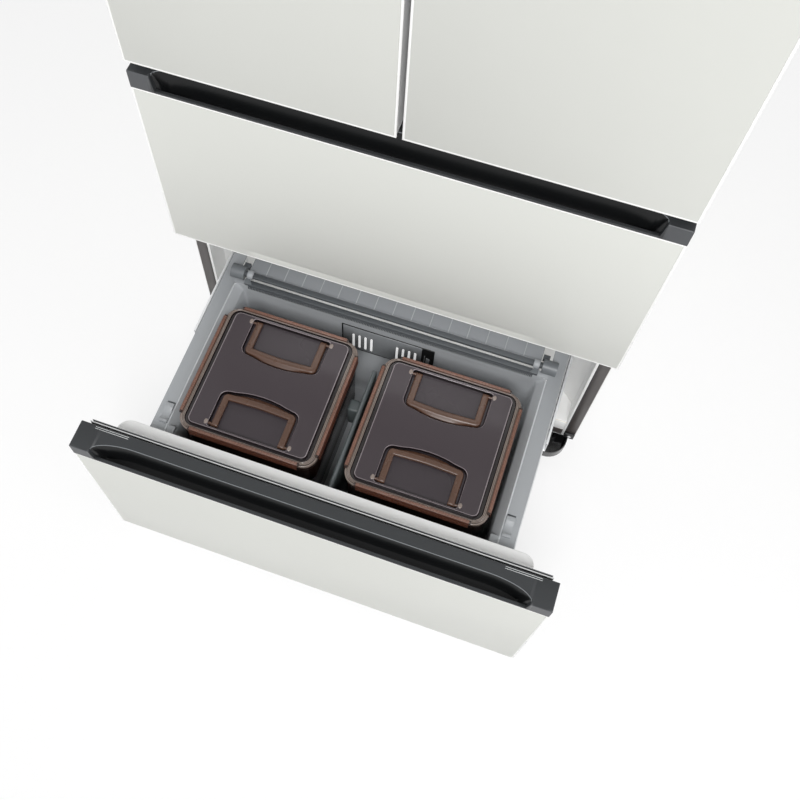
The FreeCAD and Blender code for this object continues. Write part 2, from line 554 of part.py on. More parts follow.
def make_tub(label, name, front, low, with_cover):
    """The drawer's tub: a well with side flanges, a rear shelf, a rail and bearing blocks."""
    flange = f"({low} + flange_high)"
    middle_y = f"({front} + (tub_front + tub_back) / 2)"
    end = f"({front} + tub_deep)"
    shell = [rounded_block(name + "TubOuter", "tub_wide", "tub_back - tub_front + tub_wall",
                           "tub_round", "0", f"{middle_y} + tub_wall / 2",
                           (f"{low} + tub_low", flange)),
             block(name + "Flange", centred("flange_wide / 2"), (f"{front} + tub_front", end),
                   (f"{flange} - tub_wall", flange))]
    for side, sign in (("Left", "-"), ("Right", "")):
        edge = f"({sign}(flange_wide / 2 - flange_lip / 2))"
        shell.append(block(f"{name}Lip{side}", about(edge, "flange_lip / 2"),
                           (f"{front} + slide_start", end), (f"{flange} - lip_tall", flange)))
        step = f"({sign}(tub_wide / 2 - tub_wall + step_wide / 2))"
        shell.append(block(f"{name}Step{side}", about(step, "step_wide / 2"),
                           (f"{front} + tub_front + step_front",
                            f"{front} + tub_front + step_front + step_deep"),
                           (flange, f"{flange} + step_tall")))
    hollows = [rounded_block(name + "TubInner", "tub_wide - 2 * tub_wall",
                             "tub_back - tub_front - tub_wall", "tub_round - tub_wall", "0",
                             f"{middle_y} + tub_wall / 2",
                             (f"{low} + tub_low + tub_wall", f"{flange} + overshoot"))]
    if with_cover:
        shell.append(block(name + "Rail", centred("(bearing_side - bearing_long / 2)"),
                           (f"{front} + tub_back", f"{front} + tub_back + rail_deep"),
                           (f"{flange} - tub_wall", f"{flange} + rail_tall")))
        bar_z = f"({flange} + bar_lift)"
        for side, sign in (("Left", "-"), ("Right", "")):
            shell.append(rod(f"{name}Bearing{side}", "bearing_round", "bearing_long",
                             f"{sign}bearing_side - bearing_long / 2", f"{front} + bar_place", bar_z,
                             TURN_TO_X))
            hollows.append(rod(f"{name}BearingBore{side}", "bar_round + running",
                               "bearing_long * 2", f"{sign}bearing_side - bearing_long",
                               f"{front} + bar_place", bar_z, TURN_TO_X))
        hollows.append(block(name + "CoverSeat", centred("bearing_side - bearing_long / 2"),
                             (f"{front} + bar_place - bar_round - fit", f"{end} + overshoot"),
                             (f"{flange} - tub_wall - overshoot", f"{flange} + overshoot")))
        hollows.append(block(name + "GrilleWindow", about("grille_side", "(grille_wide / 2 - fit)"),
                             (f"{front} + tub_back", f"{front} + tub_back + tub_wall + overshoot"),
                             (f"{low} + grille_low + tub_wall", f"{low} + grille_top - tub_wall")))
    tub = carved(name + "TubShell", joined(name + "TubWhole", shell), hollows)
    rib = block(name + "TubDivider", about("divider_side", "tub_divider / 2"),
                (f"{front} + tub_front + tub_wall", f"{front} + tub_back - grille_deep - fit"),
                (f"{low} + tub_low + tub_wall", f"{low} + tub_low + divider_high"))
    node(f"{label}_tub", joined(name + "Tub", [tub, rib]))


def make_rear_cover(name, front, low):
    """The ribbed rear cover, which turns on a bar between the tub's two bearing blocks."""
    flange = f"({low} + flange_high)"
    bar_z = f"({flange} + bar_lift)"
    bar_y = f"({front} + bar_place)"
    half = "(bearing_side - bearing_long / 2 - side_play)"
    bar = rod(name + "Bar", "bar_round", "2 * (bearing_side + bearing_long / 2)",
              "-bearing_side - bearing_long / 2", bar_y, bar_z, TURN_TO_X)
    end = f"({front} + tub_deep)"
    plate = block(name + "Plate", centred(half), (bar_y, end),
                  (f"{bar_z} - cover_sheet", bar_z))
    parts = [bar, plate]
    total = int(value_of("2 * bearing_side - bearing_long") // value_of("rib_step"))
    for i in range(total):
        middle = f"(({i} - {total - 1} / 2) * rib_step)"
        parts.append(block(f"{name}Rib{i}", about(middle, "rib_wide / 2"),
                           (bar_y, end), (bar_z, f"{bar_z} + rib_tall")))
    node("lower_rear_cover", joined(name, parts))


def make_grille(name, front, low):
    """The air grille in the tub's rear wall: two groups of upright slots in a thin plate."""
    plate = block(name + "Plate", about("grille_side", "grille_wide / 2"),
                  (f"{front} + tub_back - grille_deep", f"{front} + tub_back"),
                  (f"{low} + grille_low", f"{low} + grille_top"))
    middle_z = f"({low} + grille_top - grille_tall / 2 - slot_drop)"
    slots = []
    for group, sign in (("Left", "-"), ("Right", "+")):
        for i in range(count_of("slot_count")):
            middle = f"(slot_side {sign} (slot_middle / 2 + {i} * slot_step))"
            slots.append(block(f"{name}Slot{group}{i}", about(middle, "slot_wide / 2"),
                               (f"{front} + tub_back - grille_deep - overshoot",
                                f"{front} + tub_back"), about(middle_z, "slot_tall / 2")))
    node("lower_grille", carved(name, plate, slots))


def channel(name, side_sign, outer, inner, low, high, y):
    """One C-shaped slide member, open towards the tub."""
    def span(a, b):
        return (f"-({b})", f"-({a})") if side_sign == "-" else (a, b)
    body = block(name + "Body", span(inner, outer), y, (low, high))
    groove = block(name + "Groove", span(f"{inner} - overshoot", f"{outer} - slide_sheet"),
                   (f"({y[0]}) - overshoot", f"({y[1]}) + overshoot"),
                   (f"{low} + slide_sheet", f"{high} - slide_sheet"))
    return carved(name, body, [groove])


def make_slides(label, name, front, drawer_front, low):
    """Telescopic slides: cabinet, middle and drawer members, each nested in the one outside."""
    high = f"({low} + flange_high - slide_drop)"
    bottom = f"({high} - slide_tall)"
    shift = f"(({front} + {drawer_front}) / 2)"
    nest = "(slide_sheet + slide_play)"
    face = "(flange_wide / 2)"
    wall = "(cavity_wide / 2)"
    members = {"outer": [], "middle": [], "inner": []}
    for side, sign in (("Left", "-"), ("Right", "")):
        members["outer"].append(channel(f"{name}Outer{side}", sign, wall, f"{face} + slide_mouth",
                                        bottom, high,
                                        (f"{front} + slide_start", f"{front} + slide_end")))
        members["middle"].append(channel(f"{name}Middle{side}", sign, f"{wall} - {nest}",
                                         f"{face} + 2 * slide_mouth",
                                         f"({bottom} + {nest})", f"({high} - {nest})",
                                         (f"{shift} + slide_start", f"{shift} + slide_end")))
        low_x, high_x = face, f"{wall} - 2 * {nest}"
        span = (f"-({high_x})", f"-{low_x}") if sign else (low_x, high_x)
        members["inner"].append(block(f"{name}Inner{side}", span,
                                      (f"{drawer_front} + slide_start", f"{drawer_front} + slide_end"),
                                      (f"{bottom} + 2 * {nest}", f"{high} - 2 * {nest}")))
    for kind, parts in members.items():
        node(f"{label}_slide_{kind}", grouped(f"{name}{kind.title()}s", parts))


# --- Containers -----------------------------------------------------------------------------

def make_container(label, name, x):
    """A food container with its lid, four side clips and two folding bails."""
    centre_y = f"({LOW_FRONT} + pot_place)"
    floor = f"({LOW_PANEL} + tub_low + tub_wall)"
    rim_z = f"({floor} + pot_tall)"
    ledge = f"({rim_z} + lid_brim)"
    top = f"({ledge} + lid_rise)"
    outer = rounded_block(name + "Outer", "pot_wide", "pot_deep", "pot_round", x, centre_y,
                          (floor, rim_z))
    inner = rounded_block(name + "Inner", "pot_wide - 2 * pot_wall", "pot_deep - 2 * pot_wall",
                          "pot_round - pot_wall", x, centre_y,
                          (f"{floor} + pot_wall", f"{rim_z} + overshoot"))
    node(f"{label}_container", carved(name, outer, [inner]))

    brim = rounded_block(name + "Brim", "lid_wide", "lid_deep", "pot_round", x, centre_y, (rim_z, ledge))
    crown = rounded_block(name + "Crown", "lid_wide - 2 * lid_step", "lid_deep - 2 * lid_step",
                          "pot_round - lid_step", x, centre_y, (rim_z, top))
    lugs = []
    hinge_z = f"({ledge} + fit + hinge_round)"
    clips = (("front", "y", "-"), ("back", "y", "+"), ("left", "x", "-"), ("right", "x", "+"))
    for place_name, axis, sign in clips:
        half, other = "lid_deep / 2", "lid_wide / 2"
        if axis == "x":
            half, other = other, half
        run = f"({other} - pot_round)"
        offset = f"({half} - lid_step + fit + hinge_round)"
        for end, way in (("A", "-"), ("B", "+")):
            along = f"({way}({run} + lug / 2))"
            across = (f"{half} - lid_step - lug_root", f"{half}")
            span = across if sign == "+" else (f"-({across[1]})", f"-({across[0]})")
            strip = (f"{along} - lug / 2 + fit", f"{along} + lug / 2")
            if way == "-":
                strip = (f"{along} - lug / 2", f"{along} + lug / 2 - fit")
            z_span = (ledge, f"{hinge_z} + hinge_round")
            x_span, y_span = (strip, span) if axis == "y" else (span, strip)
            lugs.append(block(f"{name}Lug{place_name}{end}", tuple(f"{x} + {edge}" for edge in x_span),
                              tuple(f"{centre_y} + {edge}" for edge in y_span), z_span))
        make_clip(label, name, place_name, axis, sign, x, centre_y, run, offset, hinge_z, half)
    recesses = [make_recess(name, side, sign, x, centre_y, top)
                for side, sign in (("front", "-"), ("back", "+"))]
    bores = []
    for side, sign in (("front", "-"), ("back", "+")):
        pivot_y = f"({centre_y} {sign} (lid_deep / 2 - bail_edge - lid_step))"
        pivot_z = f"({top} - recess_deep / 2)"
        bores.append(rod(f"{name}PinBore{side}", "pin_round + running",
                         "bail_wide + 2 * (pin_long + pin_end)",
                         f"{x} - bail_wide / 2 - pin_long - pin_end", pivot_y, pivot_z, TURN_TO_X))
        make_bail(label, name, side, sign, x, pivot_y, pivot_z)
    node(f"{label}_lid", carved(name + "Lid", joined(name + "LidWhole", [brim, crown] + lugs),
                                recesses + bores))


def make_clip(label, name, side, axis, sign, x, centre_y, run, offset, hinge_z, half):
    """One side clip: a hinge barrel on the lid's ledge with a flap hanging over the rim."""
    inner, outer = f"({half} + fit)", f"({half} + fit + flap_thick)"
    low, high = (inner, outer) if sign == "+" else (f"-{outer}", f"-{inner}")
    reach = f"({offset} - {half} - fit)"
    z_span = (f"{hinge_z} - flap_tall", hinge_z)
    if axis == "y":
        barrel = rod(f"{name}Barrel{side}", "hinge_round", f"2 * {run}", f"{x} - {run}",
                     f"{centre_y} {sign} {offset}", hinge_z, TURN_TO_X)
        flap = block(f"{name}Flap{side}", (f"{x} - {run}", f"{x} + {run}"),
                     (f"{centre_y} + {low}", f"{centre_y} + {high}"), z_span)
    else:
        barrel = rod(f"{name}Barrel{side}", "hinge_round", f"2 * {run}", f"{x} {sign} {offset}",
                     f"{centre_y} - {run}", hinge_z, TURN_TO_Y)
        flap = block(f"{name}Flap{side}", (f"{x} + {low}", f"{x} + {high}"),
                     (f"{centre_y} - {run}", f"{centre_y} + {run}"), z_span)
    node(f"{label}_clip_{side}", joined(f"{name}Clip{side}", [barrel, flap]))


def make_recess(name, side, sign, x, centre_y, top):
    """The sunken pocket that a bail folds into."""
    outer = f"(lid_deep / 2 - lid_step - bail_edge + recess_root)"
    middle = f"{centre_y} {sign} ({outer} - recess_long / 2)"
    return rounded_block(f"{name}Recess{side}", "recess_wide", "recess_long", "recess_round", x,
                         middle, (f"{top} - recess_deep", f"{top} + overshoot"))


def make_bail(label, name, side, sign, x, pivot_y, pivot_z):
    """A U-shaped handle folded flat: two legs on pins and a grip towards the lid's middle."""
    way = "+" if sign == "-" else "-"
    grip = f"({pivot_y} {way} bail_long)"
    thick = about(pivot_z, "bail_thick / 2")
    parts = []
    near, far = (pivot_y, grip) if way == "+" else (grip, pivot_y)
    for leg, leg_sign in (("Left", "-"), ("Right", "+")):
        middle = f"({x} {leg_sign} (bail_wide / 2 - bail_bar / 2))"
        parts.append(block(f"{name}Leg{side}{leg}", about(middle, "bail_bar / 2"),
                           (near, far), thick))
        parts.append(rod(f"{name}Knuckle{side}{leg}", "bail_thick / 2", "bail_bar",
                         f"{middle} - bail_bar / 2", pivot_y, pivot_z, TURN_TO_X))
    parts.append(rod(f"{name}Pins{side}", "pin_round", "bail_wide + 2 * pin_long",
                     f"{x} - bail_wide / 2 - pin_long", pivot_y, pivot_z, TURN_TO_X))
    grip_low, grip_high = (f"{grip} - bail_bar", grip) if way == "+" else (grip, f"{grip} + bail_bar")
    parts.append(block(f"{name}Grip{side}", about(x, "bail_wide / 2"),
                       (grip_low, grip_high), thick))
    open_y = (f"{near} - bail_bar", f"{grip} - bail_bar")
    if way == "-":
        open_y = (f"{grip} + bail_bar", f"{far} + bail_bar")
    gap = block(f"{name}BailGap{side}",
                (f"{x} - bail_wide / 2 + bail_bar", f"{x} + bail_wide / 2 - bail_bar"), open_y,
                about(pivot_z, "bail_thick"))
    whole = joined(f"{name}BailWhole{side}", parts)
    node(f"{label}_bail_{side}", carved(f"{name}Bail{side}", whole, [gap]))


# --- Upper doors ----------------------------------------------------------------------------

def make_door(label, sign):
    """An upper door: panel skin, insulated core with side dykes, seal and door bins."""
    name = label.title()

    def span(a, b):
        return (f"-({b})", f"-({a})") if sign == "-" else (a, b)
    edge, free = "panel_wide / 2", "door_gap / 2"
    rear = f"({FRONT} + front_deep)"
    node(f"{label}_door_panel", block(name + "DoorPanel", span(free, edge), (FRONT, f"{FRONT} + skin"),
                                      (DOOR_LOW, DOOR_TOP)))
    parts = [block(name + "DoorCore", span(f"{free} + core_inset", f"{edge} - core_inset"),
                   (f"{FRONT} + skin", rear), (DOOR_LOW, DOOR_TOP))]
    dykes = (("Outer", f"{edge} - dyke_outer - dyke_wide", f"{edge} - dyke_outer"),
             ("Inner", f"{free} + dyke_inner", f"{free} + dyke_inner + dyke_wide"))
    dyke_z = (f"{UP_FLOOR} + dyke_end", f"{UP_CEILING} - dyke_end")
    for dyke, near, far in dykes:
        parts.append(block(f"{name}Dyke{dyke}", span(near, far), (rear, f"{rear} + dyke_deep"), dyke_z))
    pivot = (f"{sign}({edge} - door_pivot_side)", f"{FRONT} + door_pivot_back")
    bores = [rod(name + "BoreLow", "pivot_round + running", "pivot_long + pivot_end + overshoot",
                 *pivot, f"{DOOR_LOW} - overshoot"),
             rod(name + "BoreTop", "pivot_round + running", "pivot_long + pivot_end + overshoot",
                 *pivot, f"{DOOR_TOP} - pivot_long - pivot_end")]
    node(f"{label}_door_core", carved(name + "DoorWhole", joined(name + "DoorSolid", parts), bores))
    seal_wide = f"({edge} - {free} - door_seal_inset - door_seal_centre)"
    seal_low, seal_top = f"({DOOR_LOW} + seal_inset)", f"({DOOR_TOP} - seal_inset)"
    node(f"{label}_door_gasket", seal_ring(name + "DoorSeal", seal_wide, f"({seal_top} - {seal_low})",
                                           f"{sign}({free} + door_seal_centre + {seal_wide} / 2)",
                                           f"{rear} + seal_deep", f"({seal_low} + {seal_top}) / 2"))
    bins = []
    inner_x = (f"{free} + dyke_inner + dyke_wide", f"{edge} - dyke_outer - dyke_wide")
    for i in range(count_of("bin_count")):
        low = f"({UP_FLOOR} + bin_first + {i} * bin_step)"
        outer = block(f"{name}Bin{i}Outer", span(*inner_x), (rear, f"{rear} + bin_deep"),
                      (low, f"{low} + bin_tall"))
        hollow = block(f"{name}Bin{i}Inner",
                       span(f"{inner_x[0]} + bin_wall", f"{inner_x[1]} - bin_wall"),
                       (f"{rear} + bin_wall", f"{rear} + bin_deep - bin_wall"),
                       (f"{low} + bin_wall", f"{low} + bin_tall + overshoot"))
        bins.append(carved(f"{name}Bin{i}", outer, [hollow]))
    node(f"{label}_door_bins", grouped(name + "Bins", bins))


def make_hinges():
    """Top brackets with pins, their covers, and the middle brackets below the doors."""
    tops, covers, middles = [], [], []
    pivot_y = f"({FRONT} + door_pivot_back)"
    for side, sign in (("Left", "-"), ("Right", "")):
        pivot_x = f"({sign}(panel_wide / 2 - door_pivot_side))"
        x_span = about(pivot_x, "bracket_wide / 2")
        plate = block(f"TopPlate{side}", x_span,
                      (f"{pivot_y} - bracket_wide / 2", f"{CABINET} + bracket_grip"),
                      (CABINET_TOP, f"{CABINET_TOP} + bracket_thick"))
        pin = rod(f"TopPin{side}", "pivot_round", "pivot_long + door_drop - pivot_end + bracket_thick",
                  pivot_x, pivot_y, f"{CABINET_TOP} - pivot_long - door_drop + pivot_end")
        tops.append(joined(f"TopHinge{side}", [plate, pin]))
        inner = "(cover_wide - bracket_wide / 2)"
        cover_x = ((f"{pivot_x} - bracket_wide / 2", f"{pivot_x} + {inner}") if sign else
                   (f"{pivot_x} - {inner}", f"{pivot_x} + bracket_wide / 2"))
        shell = block(f"CoverShell{side}", cover_x,
                      (f"{pivot_y} - bracket_wide / 2 - fit", f"{CABINET} + cover_deep"),
                      (CABINET_TOP, "tall"))
        room = block(f"CoverRoom{side}", about(pivot_x, "(cover_wide - bracket_wide / 2 - cover_end)"),
                     (f"{pivot_y} - bracket_wide", f"{CABINET} + bracket_grip + fit"),
                     (f"{CABINET_TOP} - overshoot", f"{CABINET_TOP} + bracket_thick"))
        covers.append(carved(f"HingeCover{side}", shell, [room]))
        middle_z = f"({DOOR_LOW} - bracket_lift)"
        arm = block(f"MiddleArm{side}", x_span, (f"{pivot_y} - bracket_wide / 2", CABINET),
                    (middle_z, f"{middle_z} + bracket_thick"))
        peg = rod(f"MiddlePin{side}", "pivot_round", "bracket_lift + pivot_long - pivot_end",
                  pivot_x, pivot_y, middle_z)
        washer = rod(f"MiddleWasher{side}", "2 * pivot_round", "bracket_lift - fit",
                     pivot_x, pivot_y, middle_z)
        middles.append(joined(f"MiddleHinge{side}", [arm, peg, washer]))
    node("door_hinges", grouped("DoorHinges", tops + middles))
    node("hinge_covers", grouped("HingeCovers", covers))


def make_shelves():
    """Glass shelves in each upper compartment."""
    shelves = []
    for side, sign in (("Left", "-"), ("Right", "")):
        near, far = "partition / 2 + shelf_play", "cavity_wide / 2 - shelf_play"
        x_span = (f"-({far})", f"-({near})") if sign else (near, far)
        for i in range(count_of("shelf_count")):
            low = f"({UP_FLOOR} + shelf_first + {i} * shelf_step)"
            shelves.append(block(f"Shelf{side}{i}", x_span,
                                 (f"{CABINET} + shelf_front", f"{REAR_FOAM} - liner - shelf_play"),
                                 (low, f"{low} + shelf_thick")))
    node("shelves", grouped("Shelves", shelves))


make_shell()
make_insulation()
make_upper_liner()
make_liner("middle_liner", "MiddleLiner", MID_FLOOR, MID_CEILING, REAR_FOAM)
make_liner("lower_liner", "LowerLiner", LOW_FLOOR, LOW_CEILING, STEP)
make_front_frame()
make_base()
make_machine_room()
make_hinges()
make_shelves()
for door, door_sign in (("left", "-"), ("right", "")):
    make_door(door, door_sign)
DRAWERS = (("middle", "Middle", FRONT, MID_PANEL, MID_FLOOR, MID_CEILING),
           ("lower", "Lower", LOW_FRONT, LOW_PANEL, LOW_FLOOR, LOW_CEILING))
for drawer, drawer_name, drawer_front, drawer_low, cavity_floor, cavity_ceiling in DRAWERS:
    make_front(drawer, drawer_name, drawer_front, drawer_low, cavity_floor, cavity_ceiling)
    make_tub(drawer, drawer_name, drawer_front, drawer_low, drawer == "lower")
    make_slides(drawer, drawer_name + "Slide", FRONT, drawer_front, drawer_low)
make_rear_cover("RearCover", LOW_FRONT, LOW_PANEL)
make_grille("Grille", LOW_FRONT, LOW_PANEL)
for pot, pot_name, pot_x in (("left", "LeftPot", "(-pot_side - pot_left)"),
                             ("right", "RightPot", "(pot_side - pot_left)")):
    make_container(pot, pot_name, pot_x)

doc.recompute()
broken = [thing.Name for thing in doc.Objects if {"Invalid", "Error"} & set(thing.State)]
broken += [name for name, thing in pieces.items() if thing.Shape.isNull() or not thing.Shape.isValid()]
if broken:
    raise RuntimeError("not built: " + ", ".join(broken))
os.makedirs("parts", exist_ok=True)
for name, thing in pieces.items():
    thing.Shape.exportStep(f"parts/{name}.step")
    print(name, len(thing.Shape.Solids), round(thing.Shape.Volume))
print(len(pieces), "nodes")
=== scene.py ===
from math import cos, radians, sin, sqrt, tau

import bmesh
import bpy
from mathutils import Matrix, Vector


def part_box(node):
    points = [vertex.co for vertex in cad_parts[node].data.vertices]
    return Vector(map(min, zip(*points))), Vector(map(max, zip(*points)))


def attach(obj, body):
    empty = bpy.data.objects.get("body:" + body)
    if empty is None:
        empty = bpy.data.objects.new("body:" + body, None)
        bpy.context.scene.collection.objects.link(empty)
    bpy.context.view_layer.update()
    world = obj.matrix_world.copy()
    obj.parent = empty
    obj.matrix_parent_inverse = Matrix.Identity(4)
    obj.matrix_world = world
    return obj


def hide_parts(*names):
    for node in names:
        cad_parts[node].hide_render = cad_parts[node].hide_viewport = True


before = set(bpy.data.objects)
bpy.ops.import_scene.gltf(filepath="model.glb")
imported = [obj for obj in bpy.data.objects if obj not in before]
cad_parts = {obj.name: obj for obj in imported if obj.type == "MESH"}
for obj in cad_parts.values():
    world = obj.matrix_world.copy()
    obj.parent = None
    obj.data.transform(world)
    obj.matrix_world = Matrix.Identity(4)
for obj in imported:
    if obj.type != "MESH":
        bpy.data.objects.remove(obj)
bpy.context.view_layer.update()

# ---- Cabinet shell ----
# One sheet of cold-rolled steel bent over the top and down both sides, with a powder-coated
# white finish. Its front edges hold the dark rim that the seals close on.


def linear(code):
    """The linear colour of an sRGB hex code."""
    parts = [int(code[i:i + 2], 16) / 255 for i in (1, 3, 5)]
    return (*(c / 12.92 if c <= 0.04045 else ((c + 0.055) / 1.055) ** 2.4 for c in parts), 1.0)


def add(tree, kind, inputs=None, **settings):
    """A new node with its settings; an input takes a value or another node's output."""
    made = tree.nodes.new(kind)
    for name, value in settings.items():
        setattr(made, name, value)
    for socket, value in (inputs or {}).items():
        if isinstance(value, bpy.types.NodeSocket):
            tree.links.new(value, made.inputs[socket])
        else:
            made.inputs[socket].default_value = value
    return made


def finish(name, pale, deep, patch, grain, relief, smooth, rough, **sockets):
    """A material: two tones in patches, a grain in relief (all in mm) and a span of gloss."""
    made = bpy.data.materials.new(name)
    made.use_nodes = True
    tree = made.node_tree
    shader = tree.nodes["Principled BSDF"]
    where = add(tree, "ShaderNodeTexCoord").outputs["Object"]
    cloud = add(tree, "ShaderNodeTexNoise", {"Vector": where, "Scale": 1000 / patch, "Detail": 3.0})
    tone = add(tree, "ShaderNodeMix", {0: cloud.outputs[0], 6: linear(pale), 7: linear(deep)},
               data_type="RGBA")
    gloss = add(tree, "ShaderNodeMapRange",
                {"Value": cloud.outputs[0], "From Min": 0.3, "From Max": 0.7,
                 "To Min": smooth, "To Max": rough})
    fine = add(tree, "ShaderNodeTexNoise", {"Vector": where, "Scale": 1000 / grain, "Detail": 2.0})
    bump = add(tree, "ShaderNodeBump", {"Height": fine.outputs[0], "Distance": relief / 1000,
                                        "Strength": 1.0})
    tree.links.new(tone.outputs[2], shader.inputs["Base Color"])
    tree.links.new(gloss.outputs[0], shader.inputs["Roughness"])
    tree.links.new(bump.outputs[0], shader.inputs["Normal"])
    for socket, value in sockets.items():
        shader.inputs[socket.replace("_", " ")].default_value = value
    return made


sharp_angle, joined_angle = 28, 34  # an edge steeper than this stays sharp, in degrees


def put(name, data, sharp=None):
    """Put a mesh, lamp or camera in the scene; a mesh is smoothed up to an angle if given."""
    if sharp:
        data.shade_smooth()
        data.set_sharp_from_angle(angle=radians(sharp))
    made = bpy.data.objects.new(name, data)
    bpy.context.scene.collection.objects.link(made)
    return made


def solved(piece):
    """A new mesh of a piece with its modifiers worked in."""
    return bpy.data.meshes.new_from_object(
        piece.evaluated_get(bpy.context.evaluated_depsgraph_get()))


def shape(name, corners, faces, finishes, which=()):
    """A mesh piece from corners in mm, with its normals turned out and its shading smoothed."""
    mesh = bpy.data.meshes.new(name)
    mesh.from_pydata([Vector(corner) / 1000 for corner in corners], [], faces)
    for made in finishes:
        mesh.materials.append(made)
    for face, index in zip(mesh.polygons, which):
        face.material_index = index
    work = bmesh.new()
    work.from_mesh(mesh)
    bmesh.ops.remove_doubles(work, verts=work.verts, dist=1e-6)
    bmesh.ops.recalc_face_normals(work, faces=work.faces)
    work.to_mesh(mesh)
    work.free()
    return put(name, mesh, sharp_angle)


def loft(name, rings, finishes, bands=(), wrap=False):
    """A skin over rings of corners in mm; bands gives each strip's finish, ends are closed."""
    total = len(rings[0])
    corners = [corner for ring in rings for corner in ring]
    faces, which = [], []
    spans = len(rings) if wrap else len(rings) - 1
    for i in range(spans):
        low, high = i * total, (i + 1) % len(rings) * total
        for j in range(total):
            k = (j + 1) % total
            faces.append((low + j, low + k, high + k, high + j))
            which.append(bands[i] if bands else 0)
    if not wrap:
        faces += [tuple(range(total))[::-1], tuple(range((len(rings) - 1) * total, len(corners)))]
        which += [bands[0] if bands else 0, bands[-1] if bands else 0]
    return shape(name, corners, faces, finishes, which)


def soften(piece, width, rounds=2, angle=30):
    """Round a piece's edges by a width in mm."""
    bevel = piece.modifiers.new("edge", "BEVEL")
    bevel.width, bevel.segments = width / 1000, rounds
    bevel.limit_method, bevel.angle_limit = "ANGLE", radians(angle)
    bevel.use_clamp_overlap = True
    piece.modifiers.new("shading", "WEIGHTED_NORMAL").keep_sharp = True
    return piece


def span(node):
    """A frame node's lowest and highest corners in mm."""
    low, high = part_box(node)
    return low * 1000, high * 1000


def fit(piece, body, slot, *nodes):
    """Fix a piece to the body that carries it, in place of frame nodes; the slot is not used."""
    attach(piece, body)
    if nodes:
        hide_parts(*nodes)
    return piece


def traced(name, node, body, slot, made, width):
    """A softened piece that follows a frame node's own solid."""
    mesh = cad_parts[node].data.copy()
    mesh.materials.clear()
    mesh.materials.append(made)
    work = bmesh.new()
    work.from_mesh(mesh)
    bmesh.ops.remove_doubles(work, verts=work.verts, dist=1e-6)
    bmesh.ops.dissolve_limit(work, angle_limit=radians(0.5), verts=work.verts,
                             edges=work.edges)
    bmesh.ops.connect_verts_concave(work, faces=work.faces)
    for face in work.faces:
        face.material_index = 0
    work.to_mesh(mesh)
    work.free()
    return fit(soften(put(name, mesh, sharp_angle), width), body, slot, node)


shell_low, shell_high = span("cabinet_shell")
sheet, bend = 1.0, 3.0  # thickness of the steel and the outside radius of its bends


def bent(inset, y):
    """The section of the bent sheet, from the left foot over the top to the right foot."""
    x, top, radius = shell_high.x - inset, shell_high.z - inset, bend - inset
    arc = [radians(a) for a in range(0, 91, 15)]
    side = [(x - radius + radius * cos(a), y, top - radius + radius * sin(a)) for a in arc]
    right = [(x, y, shell_low.z)] + side
    return right, [(-u, y, v) for u, _, v in right[::-1]]


def shell_ring(y):
    """The sheet's closed section: its outside, then its inside on the way back."""
    outer_right, outer_left = bent(0, y)
    inner_right, inner_left = bent(sheet, y)
    return outer_right + outer_left + (inner_right + inner_left)[::-1]


# Powder-coated steel: an even white with a fine orange-peel texture of about 2 mm
powder_coat = finish("powder_coated_steel", "#E9E9E6", "#E4E4E1", 260, 2.0, 0.02, 0.38, 0.46)
shell = loft("cabinet_sheet", [shell_ring(y) for y in (shell_low.y, shell_high.y)], [powder_coat])
fit(shell, "cabinet", "painted_steel_white", "cabinet_shell")

# ---- Front panels ----
# The two drawer fronts and the two door fronts are satin off-white panels of coated glass
# sheet, each held in a thin bright aluminium edge that shows as a light line all round.

# Back-painted satin glass: off-white, nearly even, with a silky surface
satin_panel = finish("satin_glass_panel", "#DBDCD7", "#D7D8D3", 420, 0.6, 0.002, 0.34, 0.42,
                     Specular_IOR_Level=0.06)
# White lacquer on an aluminium edge strip, bright and even
bright_edge = finish("white_lacquered_aluminium", "#FDFDFC", "#F6F6F4", 60, 0.4, 0.003, 0.24, 0.32)


def box_shape(low, high):
    """Corners and faces of a box between two corners in mm."""
    corners = [(x, y, z) for x in (low[0], high[0]) for y in (low[1], high[1])
               for z in (low[2], high[2])]
    return corners, [(0, 1, 3, 2), (4, 6, 7, 5), (0, 4, 5, 1), (2, 3, 7, 6), (0, 2, 6, 4),
                     (1, 5, 7, 3)]


def block(name, low, high, made, width=0.6):
    """A softened box between two corners in mm."""
    return soften(shape(name, *box_shape(low, high), [made]), width)


def flank(name, sign, x, y, z, made, width=0.6):
    """A block on one side of the middle, between two distances from it; y and z are spans."""
    x0, x1 = sorted((sign * x[0], sign * x[1]))
    return block(name, (x0, y[0], z[0]), (x1, y[1], z[1]), made, width)


def surround(name, low, high, profile, finishes, bands=()):
    """A moulding all round a rectangle; its profile is insets and depths in mm."""
    rings = [[(low.x + i, low.y + y, low.z + i), (high.x - i, low.y + y, low.z + i),
              (high.x - i, low.y + y, high.z - i), (low.x + i, low.y + y, high.z - i)]
             for i, y in profile]
    return loft(name, rings, finishes, bands, wrap=True)


def circle(count):
    """Cosine and sine of evenly spaced turns."""
    return [(cos(tau * i / count), sin(tau * i / count)) for i in range(count)]


def joined(name, pieces):
    """One plain mesh from several pieces, with their modifiers worked in."""
    together = bmesh.new()
    finishes = []
    for piece in pieces:
        part = solved(piece)
        for made in part.materials:
            if made not in finishes:
                finishes.append(made)
        places = [finishes.index(made) for made in part.materials]
        for face in part.polygons:
            face.material_index = places[face.material_index]
        together.from_mesh(part)
        bpy.data.objects.remove(piece)
    mesh = bpy.data.meshes.new(name)
    together.to_mesh(mesh)
    together.free()
    for made in finishes:
        mesh.materials.append(made)
    return put(name, mesh, joined_angle)


edge_line, edge_deep, panel_proud = 3.4, 3.4, 0.3


